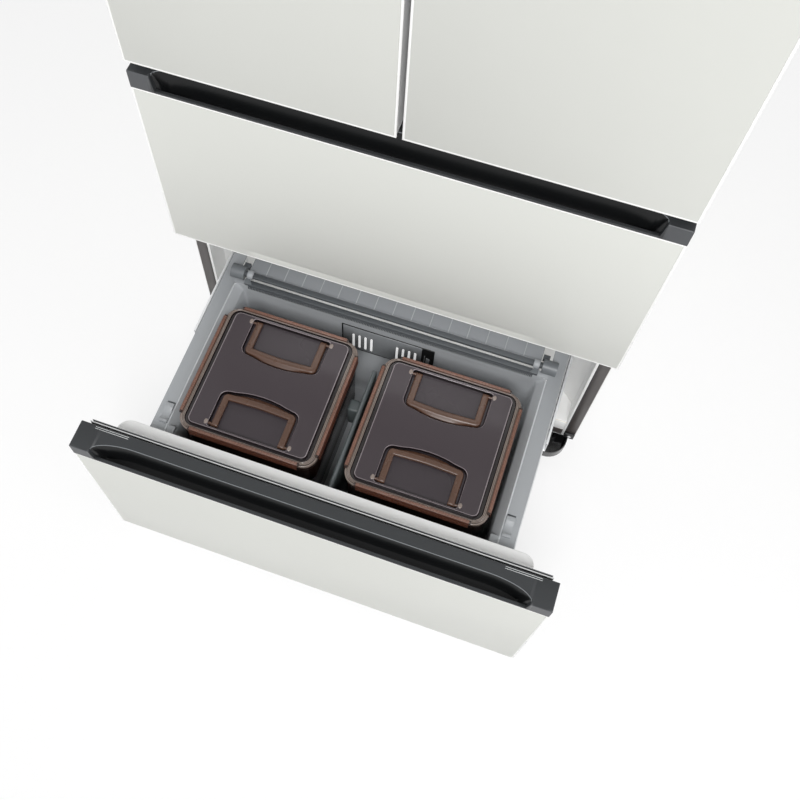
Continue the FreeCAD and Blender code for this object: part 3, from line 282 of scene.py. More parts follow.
def front_panel(node, body):
    """One panel: its satin sheet and the bright edge strip round it."""
    low, high = span(node)
    sheet_low = (low.x + edge_line, low.y, low.z + edge_line)
    sheet_high = (high.x - edge_line, low.y + edge_deep, high.z - edge_line)
    face = block(f"{node}_sheet", sheet_low, sheet_high, satin_panel, 0.5)
    profile = [(0, panel_proud), (edge_line - 0.1, panel_proud), (edge_line - 0.1, 4), (0, 4)]
    edge = soften(surround(f"{node}_edge", low, high, profile, [bright_edge]), 0.3)
    fit(joined(f"{node}_front", [face, edge]), body, "satin_white_panel", node)


fronts = (("lower", "lower_drawer"), ("middle", "middle_drawer"), ("left_door", "left_door"),
          ("right_door", "right_door"))
for front_name, body in fronts:
    front_panel(f"{front_name}_panel", body)

# ---- Grip caps ----
# A charcoal ABS moulding closes the top of each drawer front. Its long scoop takes the
# fingers: a low lip in front, a sunken floor and a wall that curves back from each end.

# Moulded ABS with a fine matt spark texture
charcoal_abs = finish("charcoal_abs", "#36383A", "#313335", 220, 0.9, 0.01, 0.46, 0.54,
                      Specular_IOR_Level=0.3)
charcoal_end = finish("charcoal_abs_end", "#4A4C4F", "#434548", 90, 0.9, 0.01, 0.44, 0.52)
# The scoop is moulded glossier, and its near-black inside is painted shade on the same charcoal
# plastic
scoop_painted_shade = finish("gloss_charcoal_abs_painted_shade", "#131415", "#0F1011", 120, 0.9, 0.008, 0.30, 0.40,
                    Specular_IOR_Level=0.3)
# A painted highlight along the rounded rear edge of the scoop, paler than the charcoal plastic
scoop_edge_painted_highlight = finish("abs_radius_painted_highlight", "#7F8386", "#74787B", 60, 0.9, 0.004, 0.22, 0.30)

scoop_start, scoop_full, scoop_depth = 363.0, 292.0, 25.5
cap_high, cap_deep, well_floor, lip_high = 32.0, 47.0, -18.0, 3.2


def ease(x, start, end):
    """0 before start, 1 after end and a smooth rise between."""
    t = min(max((x - start) / (end - start), 0), 1)
    return t * t * (3 - 2 * t)


def cap_ring(x, front, top):
    """The cap's section at x: lip, well, back wall, top, rear and the hidden pan below."""
    side = abs(x)
    lip = cap_high + (lip_high - cap_high) * ease(-side, -scoop_start, -scoop_start + 4)
    floor = cap_high + (well_floor - cap_high) * ease(-side, -scoop_start, -scoop_start + 20)
    turn = min(max((side - scoop_full) / (scoop_start - scoop_full), 0), 1)
    back = 3.6 + (scoop_depth - 3.6) * sqrt(1 - turn ** 2)
    pan = -22 if side < 366 else 0
    bend = 0.8 * ease(-side, -scoop_start, -scoop_start + 2)
    back = max(back, 8.4)
    points = [(0.1, 0), (0.1, lip - 0.9), (0.9, lip), (5.2, lip), (6.0, lip - bend),
              (6.4, min(floor + 3, lip)), (7.4, floor), (max(back - 4, 7.6), floor),
              (back, min(floor + 4, cap_high)), (back, cap_high - 1.2 * bend),
              (back + 0.9, cap_high), (cap_deep - 1.6, cap_high),
              (cap_deep - 0.1, cap_high - 1.5), (cap_deep - 0.1, 0), (30, 0), (30, pan), (4, pan),
              (4, 0)]
    return [(x, front + y, top + z) for y, z in points]


# Close together where the scoop's end curves, and wide apart along its straight run
cap_stations = [396.4, 395.6, 380, 366.1, 365.9, 363.2, 362.8, 362, 361, 359, 357, 355,
                *range(352, 303, -4), 298, 292, *range(280, -1, -40)]
cap_stations = [-x for x in cap_stations] + cap_stations[-2::-1]


# Two short ribs near each end, where the cap snaps over the core; their pale grey is a painted
# highlight
cap_rib_painted_highlight = finish("abs_rib_painted_highlight", "#D3D5D6", "#C9CBCC", 40, 0.8, 0.01, 0.30, 0.40)


def grip_cap(name, node, body):
    """One cap, with its end blocks, its scoop in painted shade and its rear radius in a painted
    highlight, each in their own finish.
    """
    low, high = span(node)
    front, top = low.y, high.z - cap_high
    rings = [cap_ring(x, front, top) for x in cap_stations]
    cap = loft("cap", rings, [charcoal_abs, scoop_painted_shade, charcoal_end, scoop_edge_painted_highlight])
    for face in cap.data.polygons:
        middle = face.center * 1000
        y, z = middle.y - front, middle.z - top - cap_high
        if abs(middle.x) > scoop_start + 1:
            face.material_index = 2 if y < 1 or abs(middle.x) > 396 else 0
        # The rounded rear edge of the scoop takes the painted highlight
        elif 6.1 < y < 27 and -1.3 < z < -0.3:
            face.material_index = 3
        # The rest of the scoop's inside is painted in shade
        elif 6.1 < y < 27 and z < -0.3:
            face.material_index = 1
    # Thin ribs in the painted highlight near both ends of the cap's rear edge
    strips = []
    for x in (-341, 341):
        for y in (cap_deep - 6.0, cap_deep - 3.0):
            strips.append(block("strip", (x - 29, front + y - 0.4, top + cap_high - 0.5),
                                (x + 29, front + y + 0.4, top + cap_high + 0.4), cap_rib_painted_highlight, 0.2))
    fit(joined(name, [cap] + strips), body, "charcoal_plastic", node)


grip_cap("lower_grip_cap", "lower_cap", "lower_drawer")
grip_cap("middle_grip_cap", "middle_cap", "middle_drawer")

# ---- Door and drawer cores, seals ----
# Each front is a foamed core behind its panel, with a white vacuum-formed inner face that
# bulges into the opening. A soft magnetic seal in a groove round it closes on the rim.

# Glossy white vacuum-formed ABS, and PVC seals: grey lips, a pale tube and grooves darkened as
# painted shade
white_abs = finish("white_abs_inner", "#FFFFFF", "#FAFAFA", 150, 1.2, 0.01, 0.30, 0.38)
soft_seal = finish("grey_soft_pvc", "#96989A", "#8C8E90", 80, 1.5, 0.02, 0.50, 0.62)
seal_groove_painted_shade = finish("soft_pvc_painted_groove_shade", "#1A1B1C", "#141516", 80, 1.5, 0.02, 0.60, 0.70)
pale_seal = finish("pale_grey_soft_pvc", "#CFD0D1", "#C6C7C8", 80, 1.5, 0.02, 0.46, 0.56)


bulge_deep, bulge_edge, bulge_fall = 35, 30, 0.4  # reach back, height of its top edge, its slope


def slope_top(core, high):
    """Slope the inner bulge of a drawer front down towards the tub, as it is moulded."""
    for corner in core.data.vertices:
        back = corner.co.y * 1000 - (high.y - bulge_deep)
        if back > 0 and corner.co.z * 1000 > high.z - bulge_edge:
            corner.co.z -= bulge_fall * back / 1000


for front_name, body in fronts:
    node = f"{front_name}_core"
    core = traced(f"{node}_shell", node, body, "white_liner", white_abs, 1.6)
    if body.endswith("drawer"):
        slope_top(core, span(node)[1])


def seal(node, body):
    """A bellows seal: a front lip, a deep groove, a round tube and a rear shadow groove."""
    low, high = span(node)
    profile = [(14, 0), (1.5, 0), (0.3, 0.4), (0.3, 1.7), (1.5, 2.0), (5, 2.1), (5, 4.4),
               (1.4, 4.5), (0.6, 5.0), (0.6, 6.2), (1.4, 6.7), (5, 6.8), (5, 8.8), (2.4, 9.0),
               (2.4, 10), (13, 10), (14, 9.2)]
    # Strip finishes: 0 grey, 1 painted shade in the grooves, 2 pale
    bands = [0, 0, 2, 2, 1, 1, 1, 2, 2, 2, 1, 1, 1, 0, 0, 0, 0]
    finishes = [soft_seal, seal_groove_painted_shade, pale_seal]
    fit(surround(f"{node}_bellows", low, high, profile, finishes, bands), body, "grey_seal", node)


for front_name, body in fronts:
    seal(f"{front_name}_gasket", body)

# ---- Drawer tubs ----
# Each tub is one grey injection-moulded box with a flat flange on both sides that hangs on
# the slides. The lower one also carries a rear shelf, the bearings and two saddle steps.

# Moulded ABS with a fine satin grain; the inner walls and floor are a paler grey than the flange as
# painted light
tub_grey = finish("grey_moulded_abs", "#9C9FA2", "#96999C", 160, 1.0, 0.012, 0.38, 0.46)
tub_wall_painted_light = finish("grey_abs_wall_painted_light", "#B2B5B8", "#A9ACAF", 200, 1.2, 0.010, 0.40, 0.48)
# The raised lip on the flange's inner edge is a paler grey as a painted highlight
flange_lip_painted_highlight = finish("grey_abs_lip_painted_highlight", "#C2C5C7", "#B6B9BC", 80, 1.0, 0.006, 0.26, 0.34)
# Dark satin fittings, a green-grey divider and mid-grey bearings among the pale walls
# The same dark grey also stands in as painted shade in gaps, notches and round the grille's slots
dark_abs_and_painted_shade = finish("dark_grey_abs_and_painted_shade", "#4A4E51", "#424548", 90, 1.0, 0.010, 0.50, 0.60)
bearing_grey = finish("mid_grey_abs", "#6B6F72", "#626669", 60, 1.0, 0.010, 0.34, 0.44)
wall_green = finish("grey_green_abs", "#62696A", "#585F60", 90, 1.0, 0.010, 0.36, 0.46)


def rounded(half_x, half_y, radius, z, centre, steps=8):
    """A rounded rectangle at one height, anticlockwise."""
    radius = max(radius, 0.5)
    points = []
    for corner, (sx, sy) in enumerate(((1, 1), (-1, 1), (-1, -1), (1, -1))):
        for i in range(steps + 1):
            turn = radians(90 * (corner + i / steps))
            points.append((centre[0] + sx * (half_x - radius) + radius * cos(turn),
                           centre[1] + sy * (half_y - radius) + radius * sin(turn), z))
    return points


def tub_bowl(name, front, back, floor, flange):
    """The well of a tub from its outer foot up to the flange, down the wall to the floor."""
    shape_rows = [  # half width, set back at the front and at the rear, corner radius, height
        (288, 12, -8, 14, floor), (294, 4, -1, 18, floor + 5), (300, 0, 3, 18, flange - 3),
        (300, 0, 3, 18, flange - 0.1), (296.5, 3, -0.2, 6, flange - 0.1),
        (296.0, 3, -0.2, 6, flange + 0.9), (294.4, 3.4, -0.4, 6, flange + 0.9),
        (293.8, 3.8, -0.4, 6, flange), (282, 5, -0.6, 5, flange - 15.5),
        (280.4, 5.6, -0.8, 5, flange - 18), (278, 8, -1.0, 8, floor + 101),
        (276.5, 9, -17, 10, floor + 90), (273, 12, -20, 18, floor + 10),
        (262, 24, -32, 18, floor + 3.2)]
    rings = [rounded(half_x, (back + b - front - f) / 2, radius, z,
                     (0, (front + f + back + b) / 2), 6) for half_x, f, b, radius, z in shape_rows]
    # 0 outside and flange, 1 inner walls and floor in painted light, 2 the flange's lip in a
    # painted highlight
    bands = [0, 0, 0, 0, 2, 2, 2, 1, 1, 1, 1, 1, 1]
    return loft(name, rings, [tub_grey, tub_wall_painted_light, flange_lip_painted_highlight], bands)


def half_round(name, x0, x1, y, z, radius, made, sides=20, flat=-1.0):
    """A rod along x in mm whose lower side is cut flat at a share of its radius."""
    section = []
    for i in range(sides):
        a = tau * (i + 0.5) / sides
        section.append((y + radius * cos(a), z + radius * max(sin(a), flat)))
    return loft(name, [[(x, u, v) for u, v in section] for x in (x0, x1)], [made])


def saddle(name, x, y, flange):
    """A small step block beside the front corner: a hollowed top between two end ridges."""
    stations = [(-18.5, 0.2), (-18, 5.4), (-17.2, 6.0), (-13.5, 6.0), (-12.8, 5.2), (-9, 2.9),
                (-4, 1.6), (1, 2.0), (6, 3.6), (9.6, 5.6), (10.4, 6.0), (17.2, 6.0), (18, 5.4),
                (18.5, 0.2)]
    rings = [[(x - 7.4, y + t, flange - 0.5), (x + 7.4, y + t, flange - 0.5),
              (x + 7.4, y + t, flange + h), (x - 7.4, y + t, flange + h)] for t, h in stations]
    body = soften(loft(name, rings, [tub_grey]), 0.4)
    # A dark slot in front of the step stands in for the shade in the gap there: painted shade
    painted_shade_notch = block("painted_shade_notch", (x - 7.2, y + 19, flange - 0.4), (x + 7.2, y + 22.5, flange + 0.15),
                  dark_abs_and_painted_shade, 0.1)
    return [body, painted_shade_notch]


tub_side, flange_up = 322, 306.6  # half width over the flanges, flange above the front's foot


def tub(label, drawer, back, shelf):
    """One tub; the lower one has the shelf's fittings and a longer gap behind its divider."""
    low, high = span(f"{label}_tub")
    front, end, floor = low.y, high.y, low.z
    flange = span(f"{label}_panel")[0].z + flange_up
    parts = [tub_bowl("bowl", front, back, floor, flange)]
    for sign in (-1, 1):
        parts += [flank("flange", sign, (296.5, tub_side), (front, end), (flange - 3, flange),
                        tub_grey, 0.7),
                  flank("lip", sign, (tub_side - 3, tub_side), (front + 3, end),
                        (flange - 46, flange - 1), tub_grey, 0.8)]
        if shelf:
            parts.append(flank("ledge", sign, (280, 298), (front + 1, front + 24),
                               (flange - 8, flange), tub_grey, 0.8))
            parts += saddle("saddle", sign * 304.5, front + 42.5, flange)
    parts.append(block("divider", (-1, front + 5, floor + 2.6),
                       (7, (-262 if shelf else back - 20), floor + 200), wall_green, 2.4))
    # A lighter grey strip along the divider's top edge is a painted highlight
    parts.append(block("divider_painted_highlight", (1.6, front + 6, floor + 199),
                       (4.4, (-264 if shelf else back - 22), floor + 200.4), bearing_grey, 0.4))
    if shelf:
        parts.append(block("divider_foot", (-1, -272, floor + 2.6), (7, back - 20, floor + 96),
                           dark_abs_and_painted_shade, 3))
        parts.append(block("divider_lug", (-27, -330, floor + 90), (0, -306, floor + 150),
                           wall_green, 4))
    parts.append(block("rear_shelf", (-297, back + 0.2, flange - 3),
                       (297, back + 13 if shelf else end, flange), tub_grey, 0.5))
    if shelf:
        axle = (back + 20, flange + 6.3)
        parts.append(block("rail", (-277.6, back + 0.4, flange - 1),
                           (277.6, back + 10.4, flange + 5), dark_abs_and_painted_shade, 1.2))
        for sign in (-1, 1):
            ends = sorted((sign * 282, sign * 308))
            parts.append(half_round("bearing", ends[0], ends[1], axle[0], axle[1], 13, bearing_grey,
                                    24, -0.72))
            cheek = [(sign * 277.8, back + 1), (sign * 277.8, back + 25), (sign * 263, back + 1)]
            corners = [(x, y, z) for z in (flange, flange + 6.4) for x, y in cheek]
            faces = [(0, 1, 2), (3, 4, 5), (0, 1, 4, 3), (1, 2, 5, 4), (2, 0, 3, 5)]
            parts.append(soften(shape("cheek", corners, faces, [bearing_grey]), 0.5))
            parts.append(flank("stop", sign, (279, 291), (axle[0] + 12, axle[0] + 22),
                               (flange, flange + 9), dark_abs_and_painted_shade, 0.8))
        # A row of dark teeth below the rail stands in for a dotted line of shadow: painted shade
        painted_shadow_teeth = row("painted_shadow_teeth", "box", dark_abs_and_painted_shade, 180, (-268.5, back - 1.4, flange - 3.4), (3, 0, 0),
                    (1.3, 2.2, 4.6))
        parts += [painted_shadow_teeth, block("shadow_gap", (-270, back - 1.2, flange - 1.4),
                               (270, back + 0.6, flange + 1.2), dark_abs_and_painted_shade, 0.2)]
    fit(joined(f"{label}_tub_moulding", parts), drawer, "grey_plastic", f"{label}_tub")


def row_tree(unit):
    """A tree that repeats one unit along a straight line."""
    tree = bpy.data.node_groups.new(f"row_of_{unit}", "GeometryNodeTree")
    tree.interface.new_socket("Geometry", in_out="OUTPUT", socket_type="NodeSocketGeometry")
    for name, kind in (("Count", "Int"), ("Start", "Vector"), ("Step", "Vector"),
                       ("Size", "Vector"), ("Turn", "Vector"), ("Finish", "Material")):
        tree.interface.new_socket(name, in_out="INPUT", socket_type=f"NodeSocket{kind}")
    given = add(tree, "NodeGroupInput").outputs
    line = add(tree, "GeometryNodeMeshLine", {"Count": given["Count"], "Offset": given["Step"],
                                              "Start Location": given["Start"]}, mode="OFFSET")
    if unit == "box":
        one = add(tree, "GeometryNodeMeshCube", {"Size": given["Size"]}).outputs["Mesh"]
    else:
        size = add(tree, "ShaderNodeSeparateXYZ", {0: given["Size"]})
        half = add(tree, "ShaderNodeMath", {0: size.outputs[0], 1: 0.5}, operation="MULTIPLY")
        if unit == "ball":
            one = add(tree, "GeometryNodeMeshIcoSphere", {"Radius": half.outputs[0],
                                                          "Subdivisions": 2}).outputs["Mesh"]
        else:
            one = add(tree, "GeometryNodeMeshCylinder",
                      {"Vertices": 16 if unit == "screw" else 12, "Radius": half.outputs[0],
                       "Depth": size.outputs[2]}).outputs["Mesh"]
    turn = add(tree, "FunctionNodeEulerToRotation", {0: given["Turn"]})
    placed = add(tree, "GeometryNodeInstanceOnPoints",
                 {"Points": line.outputs["Mesh"], "Instance": one, "Rotation": turn.outputs[0]})
    real = add(tree, "GeometryNodeRealizeInstances", {"Geometry": placed.outputs["Instances"]})
    dressed = add(tree, "GeometryNodeSetMaterial", {"Geometry": real.outputs["Geometry"],
                                                    "Material": given["Finish"]})
    add(tree, "NodeGroupOutput", {"Geometry": dressed.outputs["Geometry"]})
    return tree


row_trees = {}


def row(name, unit, made, count, start, step, size, turn=(0, 0, 0)):
    """A plain mesh of like units in a line; start, step and size in mm, turn in degrees."""
    if unit not in row_trees:
        row_trees[unit] = row_tree(unit)
    holder = put(name, bpy.data.meshes.new(name))
    rule = holder.modifiers.new("row", "NODES")
    rule.node_group = row_trees[unit]
    given = {"Count": count, "Start": [v / 1000 for v in start], "Step": [v / 1000 for v in step],
             "Size": [v / 1000 for v in size], "Turn": [radians(v) for v in turn],
             "Finish": made}
    for socket in row_trees[unit].interface.items_tree:
        if socket.in_out == "INPUT":
            rule[socket.identifier] = given[socket.name]
    mesh = solved(holder)
    bpy.data.objects.remove(holder)
    return put(name, mesh)


tub("lower", "lower_drawer", -187.5, True)
tub("middle", "middle_drawer", 226.5, False)

# ---- Rear cover ----
# A ribbed grey lid over the rear shelf. It turns on a bar that runs between the two bearing
# blocks, with a collar at each end of the bar.

# Satin grey plate with ribs painted paler as highlights, so they stand out as thin lines
cover_grey = finish("grey_ribbed_abs", "#8B8E91", "#838689", 140, 1.0, 0.012, 0.34, 0.44)
cover_rib_painted_highlight = finish("grey_rib_painted_highlight", "#ABAEB0", "#A3A6A8", 60, 0.8, 0.006, 0.28, 0.36)
cover_low, cover_high = span("lower_rear_cover")
bar_y, bar_z = cover_low.y + 6, cover_low.z + 6
section = [(-5.6, -2.2), (-5.8, 1.8), (-4.6, 3.9), (3.6, 4.6), (5.4, 3.0), (5.8, -1.6), (3.4, -5),
           (-3.4, -5)]
bar = soften(loft("bar", [[(x, bar_y + u, bar_z + v) for u, v in section] for x in (-277, 277)],
                  [dark_abs_and_painted_shade]), 0.7)
ends = [half_round("bar_end", *sorted((sign * 276, sign * 307.6)), bar_y, bar_z, 5.8, dark_abs_and_painted_shade, 20)
        for sign in (-1, 1)]
collars = [soften(half_round("collar", *sorted((sign * 266, sign * 276.8)), bar_y, bar_z, 8.6,
                             tub_grey, 24), 0.6) for sign in (-1, 1)]
plate = block("plate", (-277.4, bar_y + 3, bar_z - 3), (277.4, cover_high.y - 0.2, bar_z - 0.2),
              cover_grey, 0.8)
ribs = row("ribs", "box", cover_rib_painted_highlight, 15, (-245, bar_y + 34.5, bar_z), (35, 0, 0), (1.4, 56, 1.0))
light_line = block("light_line", (-265, bar_y + 4.6, bar_z + 2.8), (265, bar_y + 6.0, bar_z + 3.8),
                   cover_grey, 0.4)
fit(joined("rear_cover_moulding", [bar, plate, ribs, light_line] + ends + collars),
    "lower_rear_cover", "grey_plastic", "lower_rear_cover")

# ---- Air grille ----
# A thin plate snapped into the tub's rear wall. Eight round-ended slots in two groups show the
# white duct behind, given a painted glow, and a latch sits in a recess at the right end whose
# dark is painted shade.

grille_low, grille_high = span("lower_grille")
# Satin grey plate, and black gaps round it as painted shade; the duct glows a little, a painted
# light, to read as white
grille_grey = finish("grey_grille_abs", "#989B9E", "#909396", 60, 0.9, 0.010, 0.36, 0.44)
duct_painted_glow = finish("white_duct_painted_glow", "#FFFFFF", "#F8F8F8", 60, 0.9, 0.004, 0.30, 0.40,
                    Emission_Color=(1, 1, 1, 1), Emission_Strength=0.45)
gap_painted_shade = finish("abs_painted_gap_shade", "#0E0F10", "#0A0B0B", 60, 0.9, 0.004, 0.50, 0.60)
wide, tall, face_y = grille_high.x - grille_low.x, grille_high.z - grille_low.z, grille_low.y
# A near-black plate behind the grille and its rim stand in for the shade in the gaps: painted shade
frame_back = block("gap", (grille_low.x + 0.2, face_y + 1.2, grille_low.z + 0.2),
                   (grille_high.x - 0.2, grille_high.y - 0.2, grille_high.z - 0.2), gap_painted_shade, 0.3)
plate = block("plate", (grille_low.x + 2.6, face_y + 0.3, grille_low.z + 2.6),
              (grille_high.x - 24, face_y + 2.4, grille_high.z - 2.6), grille_grey, 0.7)
rim = []
for low, high in (((0.0, tall - 1.2), (wide, tall)), ((0, 0), (wide, 1.2)), ((0, 0), (1.2, tall)),
                  ((wide - 1.2, 0), (wide, tall))):
    rim.append(block(
        "rim", (grille_low.x + low[0] + 0.1, face_y + 0.4, grille_low.z + low[1] + 0.1),
        (grille_low.x + high[0] - 0.1, face_y + 2.6, grille_low.z + high[1] - 0.1), gap_painted_shade, 0.3))
slots, slot_z = [], (grille_low.z + grille_high.z) / 2 - 8 + 1.5
for group in (-3 - 25 - 3 * 11.7, -3 + 25):
    # Each slot first gets a slightly larger dark rim as painted shade round its edge, then the
    # glowing duct
    for grow, depth, made in ((1.6, 0.4, dark_abs_and_painted_shade), (0, 0.8, duct_painted_glow)):
        y = face_y + 0.3 - depth / 2
        slots.append(row("slots", "box", made, 4, (group, y, slot_z), (11.7, 0, 0),
                         (4.6 + grow, depth, 43 + grow)))
        for z in (slot_z - 21.5, slot_z + 21.5):
            slots.append(row("slot_ends", "round", made, 4, (group, y, z), (11.7, 0, 0),
                             (4.6 + grow, 1, depth - 0.02), (90, 0, 0)))
latch = [block("latch", (grille_high.x - 15, face_y + 0.6, slot_z - 12),
               (grille_high.x - 8, face_y + 2.2, slot_z + 14), grille_grey, 0.6),
         # The latch's edge strip is painted pale as a highlight
         block("latch_edge", (grille_high.x - 18.6, face_y + 0.8, slot_z - 20),
               (grille_high.x - 17.4, face_y + 2.2, slot_z + 22), cover_rib_painted_highlight, 0.3)]
fit(joined("air_grille", [frame_back, plate] + rim + slots + latch), "lower_drawer", "grey_plastic",
    "lower_grille")

# ---- Food containers ----
# Two square boxes blow-moulded in tinted brown plastic, with a rolled rim, drafted walls and
# two shallow beads round them. They stand in the tub side by side.

# Brown plastic so deeply tinted that the full box looks nearly black, with bright edges
tinted_box = finish("tinted_brown_copolyester", "#2C1A14", "#20130F", 90, 2.0, 0.01, 0.16, 0.26,
                    Specular_IOR_Level=0.4)


def plan(low, high):
    """The centre of a box seen from above, and its half width and half depth."""
    return ((low.x + high.x) / 2, (low.y + high.y) / 2), (high.x - low.x) / 2, (high.y - low.y) / 2


def container(side):
    """One food box, from its foot up the outside, over the rim and down the inside."""
    low, high = span(f"{side}_container")
    (centre, half_x, half_y), tall = plan(low, high), high.z - low.z
    outside = [(14, 0), (8, 0.8), (5.4, 3.2), (4.6, 8), (3.4, 60), (2.8, 62), (2.8, 64), (3.2, 66),
               (2.4, 150), (1.9, 152), (1.9, 154), (2.2, 156), (1.6, tall - 16), (0.4, tall - 15),
               (0, tall - 13), (0, tall - 1), (0.6, tall)]
    inside = [(2.2, tall), (2.8, tall - 0.8), (3.6, tall - 16), (5.6, 66), (7, 10), (8.5, 5),
              (12, 3), (16, 2.6)]
    rings = [rounded(half_x - i, half_y - i, 24 - i, low.z + z, centre)
             for i, z in outside + inside]
    fit(loft(f"{side}_food_box", rings, [tinted_box]), f"{side}_container", "brown_translucent",
        f"{side}_container")


container("left")
container("right")

# ---- Container lids ----
# Each lid is moulded from the same tinted plastic: a ribbed translucent brim, a dark gutter
# and a raised glossy plateau with a thin bright edge and two pockets for the bails.

# Glossy tinted copolyester; the plateau is even, its rounded edge catches the light
lid_top = finish("tinted_plum_copolyester", "#423B3F", "#3E373B", 300, 2.0, 0.002, 0.16, 0.24,
                 Specular_IOR_Level=0.3)
# Paler where the brim is thin; the gutter and the brim's grooves are darkened as painted shade
lid_brim = finish("translucent_taupe_copolyester", "#84776F", "#776A62", 60, 1.0, 0.01, 0.18, 0.28,
                  Coat_Weight=0.3, Coat_Roughness=0.1)
gutter_painted_shade = finish("plum_copolyester_painted_gutter_shade", "#241C1E", "#1B1517", 60, 1.0, 0.01, 0.20, 0.30)
# A light line on the plateau's rounded edge and the pocket rims, as a painted highlight
lid_edge_painted_highlight = finish("plum_edge_painted_highlight", "#8E8488", "#7C7377", 60, 1.0, 0.004, 0.08, 0.14,
                  Coat_Weight=0.5, Coat_Roughness=0.04)
# Satin walls darkened as painted shade and a matt floor set the pockets off from the glossy top
pocket_wall_painted_shade = finish("plum_copolyester_painted_pocket_shade", "#1E1819", "#181314", 80, 1.0, 0.006, 0.20, 0.30)
pocket_floor = finish("matt_plum_copolyester", "#3E383C", "#383236", 120, 1.0, 0.004, 0.24, 0.34,
                      Specular_IOR_Level=0.3)
# Moulded gate marks, paler where the plastic is thin
pale_bump = finish("thin_taupe_copolyester", "#8C8079", "#7D706A", 12, 1.0, 0.01, 0.20, 0.30)

lid_profile = [  # inset from the brim's side edge, height above its foot, finish of the strip
    (9, 0, 1), (1.4, 0, 1), (0, 1.2, 1), (0, 6.4, 1), (0.6, 7.6, 1), (1.8, 8, 1), (3.0, 8.0, 2),
    (3.2, 10.6, 1), (3.8, 12.0, 1), (4.8, 12.6, 1), (5.3, 11.9, 2), (5.9, 11.9, 1), (6.4, 12.6, 1),
    (7.2, 12.6, 1), (7.7, 11.9, 2), (8.3, 11.9, 1), (8.8, 12.6, 1), (9.8, 12.4, 2),
    (10.6, 11.2, 2), (11.2, 9.2, 2), (16.2, 9.0, 2), (16.9, 9.8, 2), (17.3, 14.4, 2),
    (17.7, 15.5, 3), (18.4, 16, 3), (19.2, 15.9, 0), (20.2, 15.6, 0), (21.2, 15.5, 0),
    (32, 15.5, 0)]


def pocket(centre, half_y, way, top):
    """The pocket for one bail: straight at the hinge, arched on the grip's side."""
    rings = []
    for inset, depth in ((-0.9, -3), (-0.9, 0.0), (0.0, 0.9), (0.5, 8.4), (2.2, 9.6)):
        half, near, far = 71.6 - inset, 15.4 + inset, 86.0 - inset
        outline = [(half - 4 + 4 * sin(a), near + 4 - 4 * cos(a))
                   for a in (radians(d) for d in range(0, 91, 18))]
        outline += [(half - 14 + 14 * cos(a), far - 14 + 14 * sin(a))
                    for a in (radians(d) for d in range(0, 76, 15))]
        outline += [(x, far + 8.2 * (1 - (x / 50) ** 2) ** 0.8) for x in (44, 32, 16, 0)]
        outline += [(-x, t) for x, t in outline[-2::-1]]
        rings.append([(centre[0] + x, centre[1] - way * (half_y - t), top - depth)
                      for x, t in outline])
    # Rim strips take the painted highlight, the walls the painted shade, then the floor
    return loft("pocket_cut", rings, [pocket_wall_painted_shade, pocket_floor, lid_edge_painted_highlight], [2, 2, 0, 1])


def lid(side):
    """One lid with both its pockets cut and its four gate marks."""
    low, high = span(f"{side}_lid")
    (centre, half_x, half_y), top = plan(low, high), low.z + 15.5
    rings = [rounded(half_x - i, half_y - 0.68 * i, 26 - 0.9 * i, low.z + z, centre)
             for i, z, _ in lid_profile]
    body = loft("lid", rings, [lid_top, lid_brim, gutter_painted_shade, lid_edge_painted_highlight],
                [kind for _, _, kind in lid_profile[:-1]])
    cuts = []
    for way in (1, -1):
        cut = pocket(centre, half_y, way, top)
        cuts.append(cut)
        drill = body.modifiers.new("pocket", "BOOLEAN")
        drill.operation, drill.object, drill.solver = "DIFFERENCE", cut, "EXACT"
        drill.material_mode = "TRANSFER"
    body.modifiers.new("shading", "WEIGHTED_NORMAL").keep_sharp = True
    bumps = []
    for way in (1, -1):
        for x in (-75.4, 75.4):
            y = centre[1] - way * (half_y - 22)
            rings = [[(centre[0] + x + r * 3.4 * c, y + r * 4.8 * s, top + h)
                      for c, s in circle(14)]
                     for r, h in ((1.0, -0.6), (1.0, 0.1), (0.8, 0.8), (0.4, 1.05))]
            bumps.append(loft("bump", rings, [pale_bump]))
    moulding = joined(f"{side}_lid_moulding", [body] + bumps)
    for cut in cuts:
        bpy.data.objects.remove(cut)
    moulding.modifiers.new("shading", "WEIGHTED_NORMAL").keep_sharp = True
    fit(moulding, f"{side}_lid", "purple_grey_lid", f"{side}_lid")


lid("left")
lid("right")

# ---- Lid clips ----
# Four copper-brown clips of tough moulded plastic hinge on the lid's brim. Each is a straight
# bar with a ridged top and a flap that hangs over the container's rolled rim.

# Warm copper brown, painted paler on the ridge tops as a highlight and darker in the grooves as
# shade
clip_brown = finish("copper_brown_pp", "#5A3426", "#48291D", 70, 0.8, 0.012, 0.26, 0.38)
clip_top_painted_highlight = finish("copper_brown_pp_painted_top_light", "#9A7060", "#855C4B", 40, 0.8, 0.012, 0.24, 0.34)
clip_shadow = finish("copper_brown_pp_painted_shade", "#2B1912", "#22130E", 70, 0.8, 0.012, 0.40, 0.50)

# Outwards from the brim's edge and up from the hinge: grooved top, hanging flap, back
clip_profile = [(-4.4, -1.2), (-4.5, 0.6), (-4.0, 2.6), (-3.4, 3.4), (-2.6, 3.5), (-2.4, 2.8),
                (-2.0, 2.8), (-1.8, 3.5), (-0.6, 3.5), (-0.4, 2.8), (0.0, 2.8), (0.2, 3.5),
                (1.2, 3.4), (1.9, 2.9), (2.5, 1.9), (2.8, 0.8), (2.8, -4), (2.4, -4.5), (2.8, -5),
                (2.8, -14), (3.3, -15.4), (3.2, -16.6), (2.2, -16.8), (0.6, -16.4), (0.4, -4),
                (-1.2, -3.5), (-3.2, -2.9)]


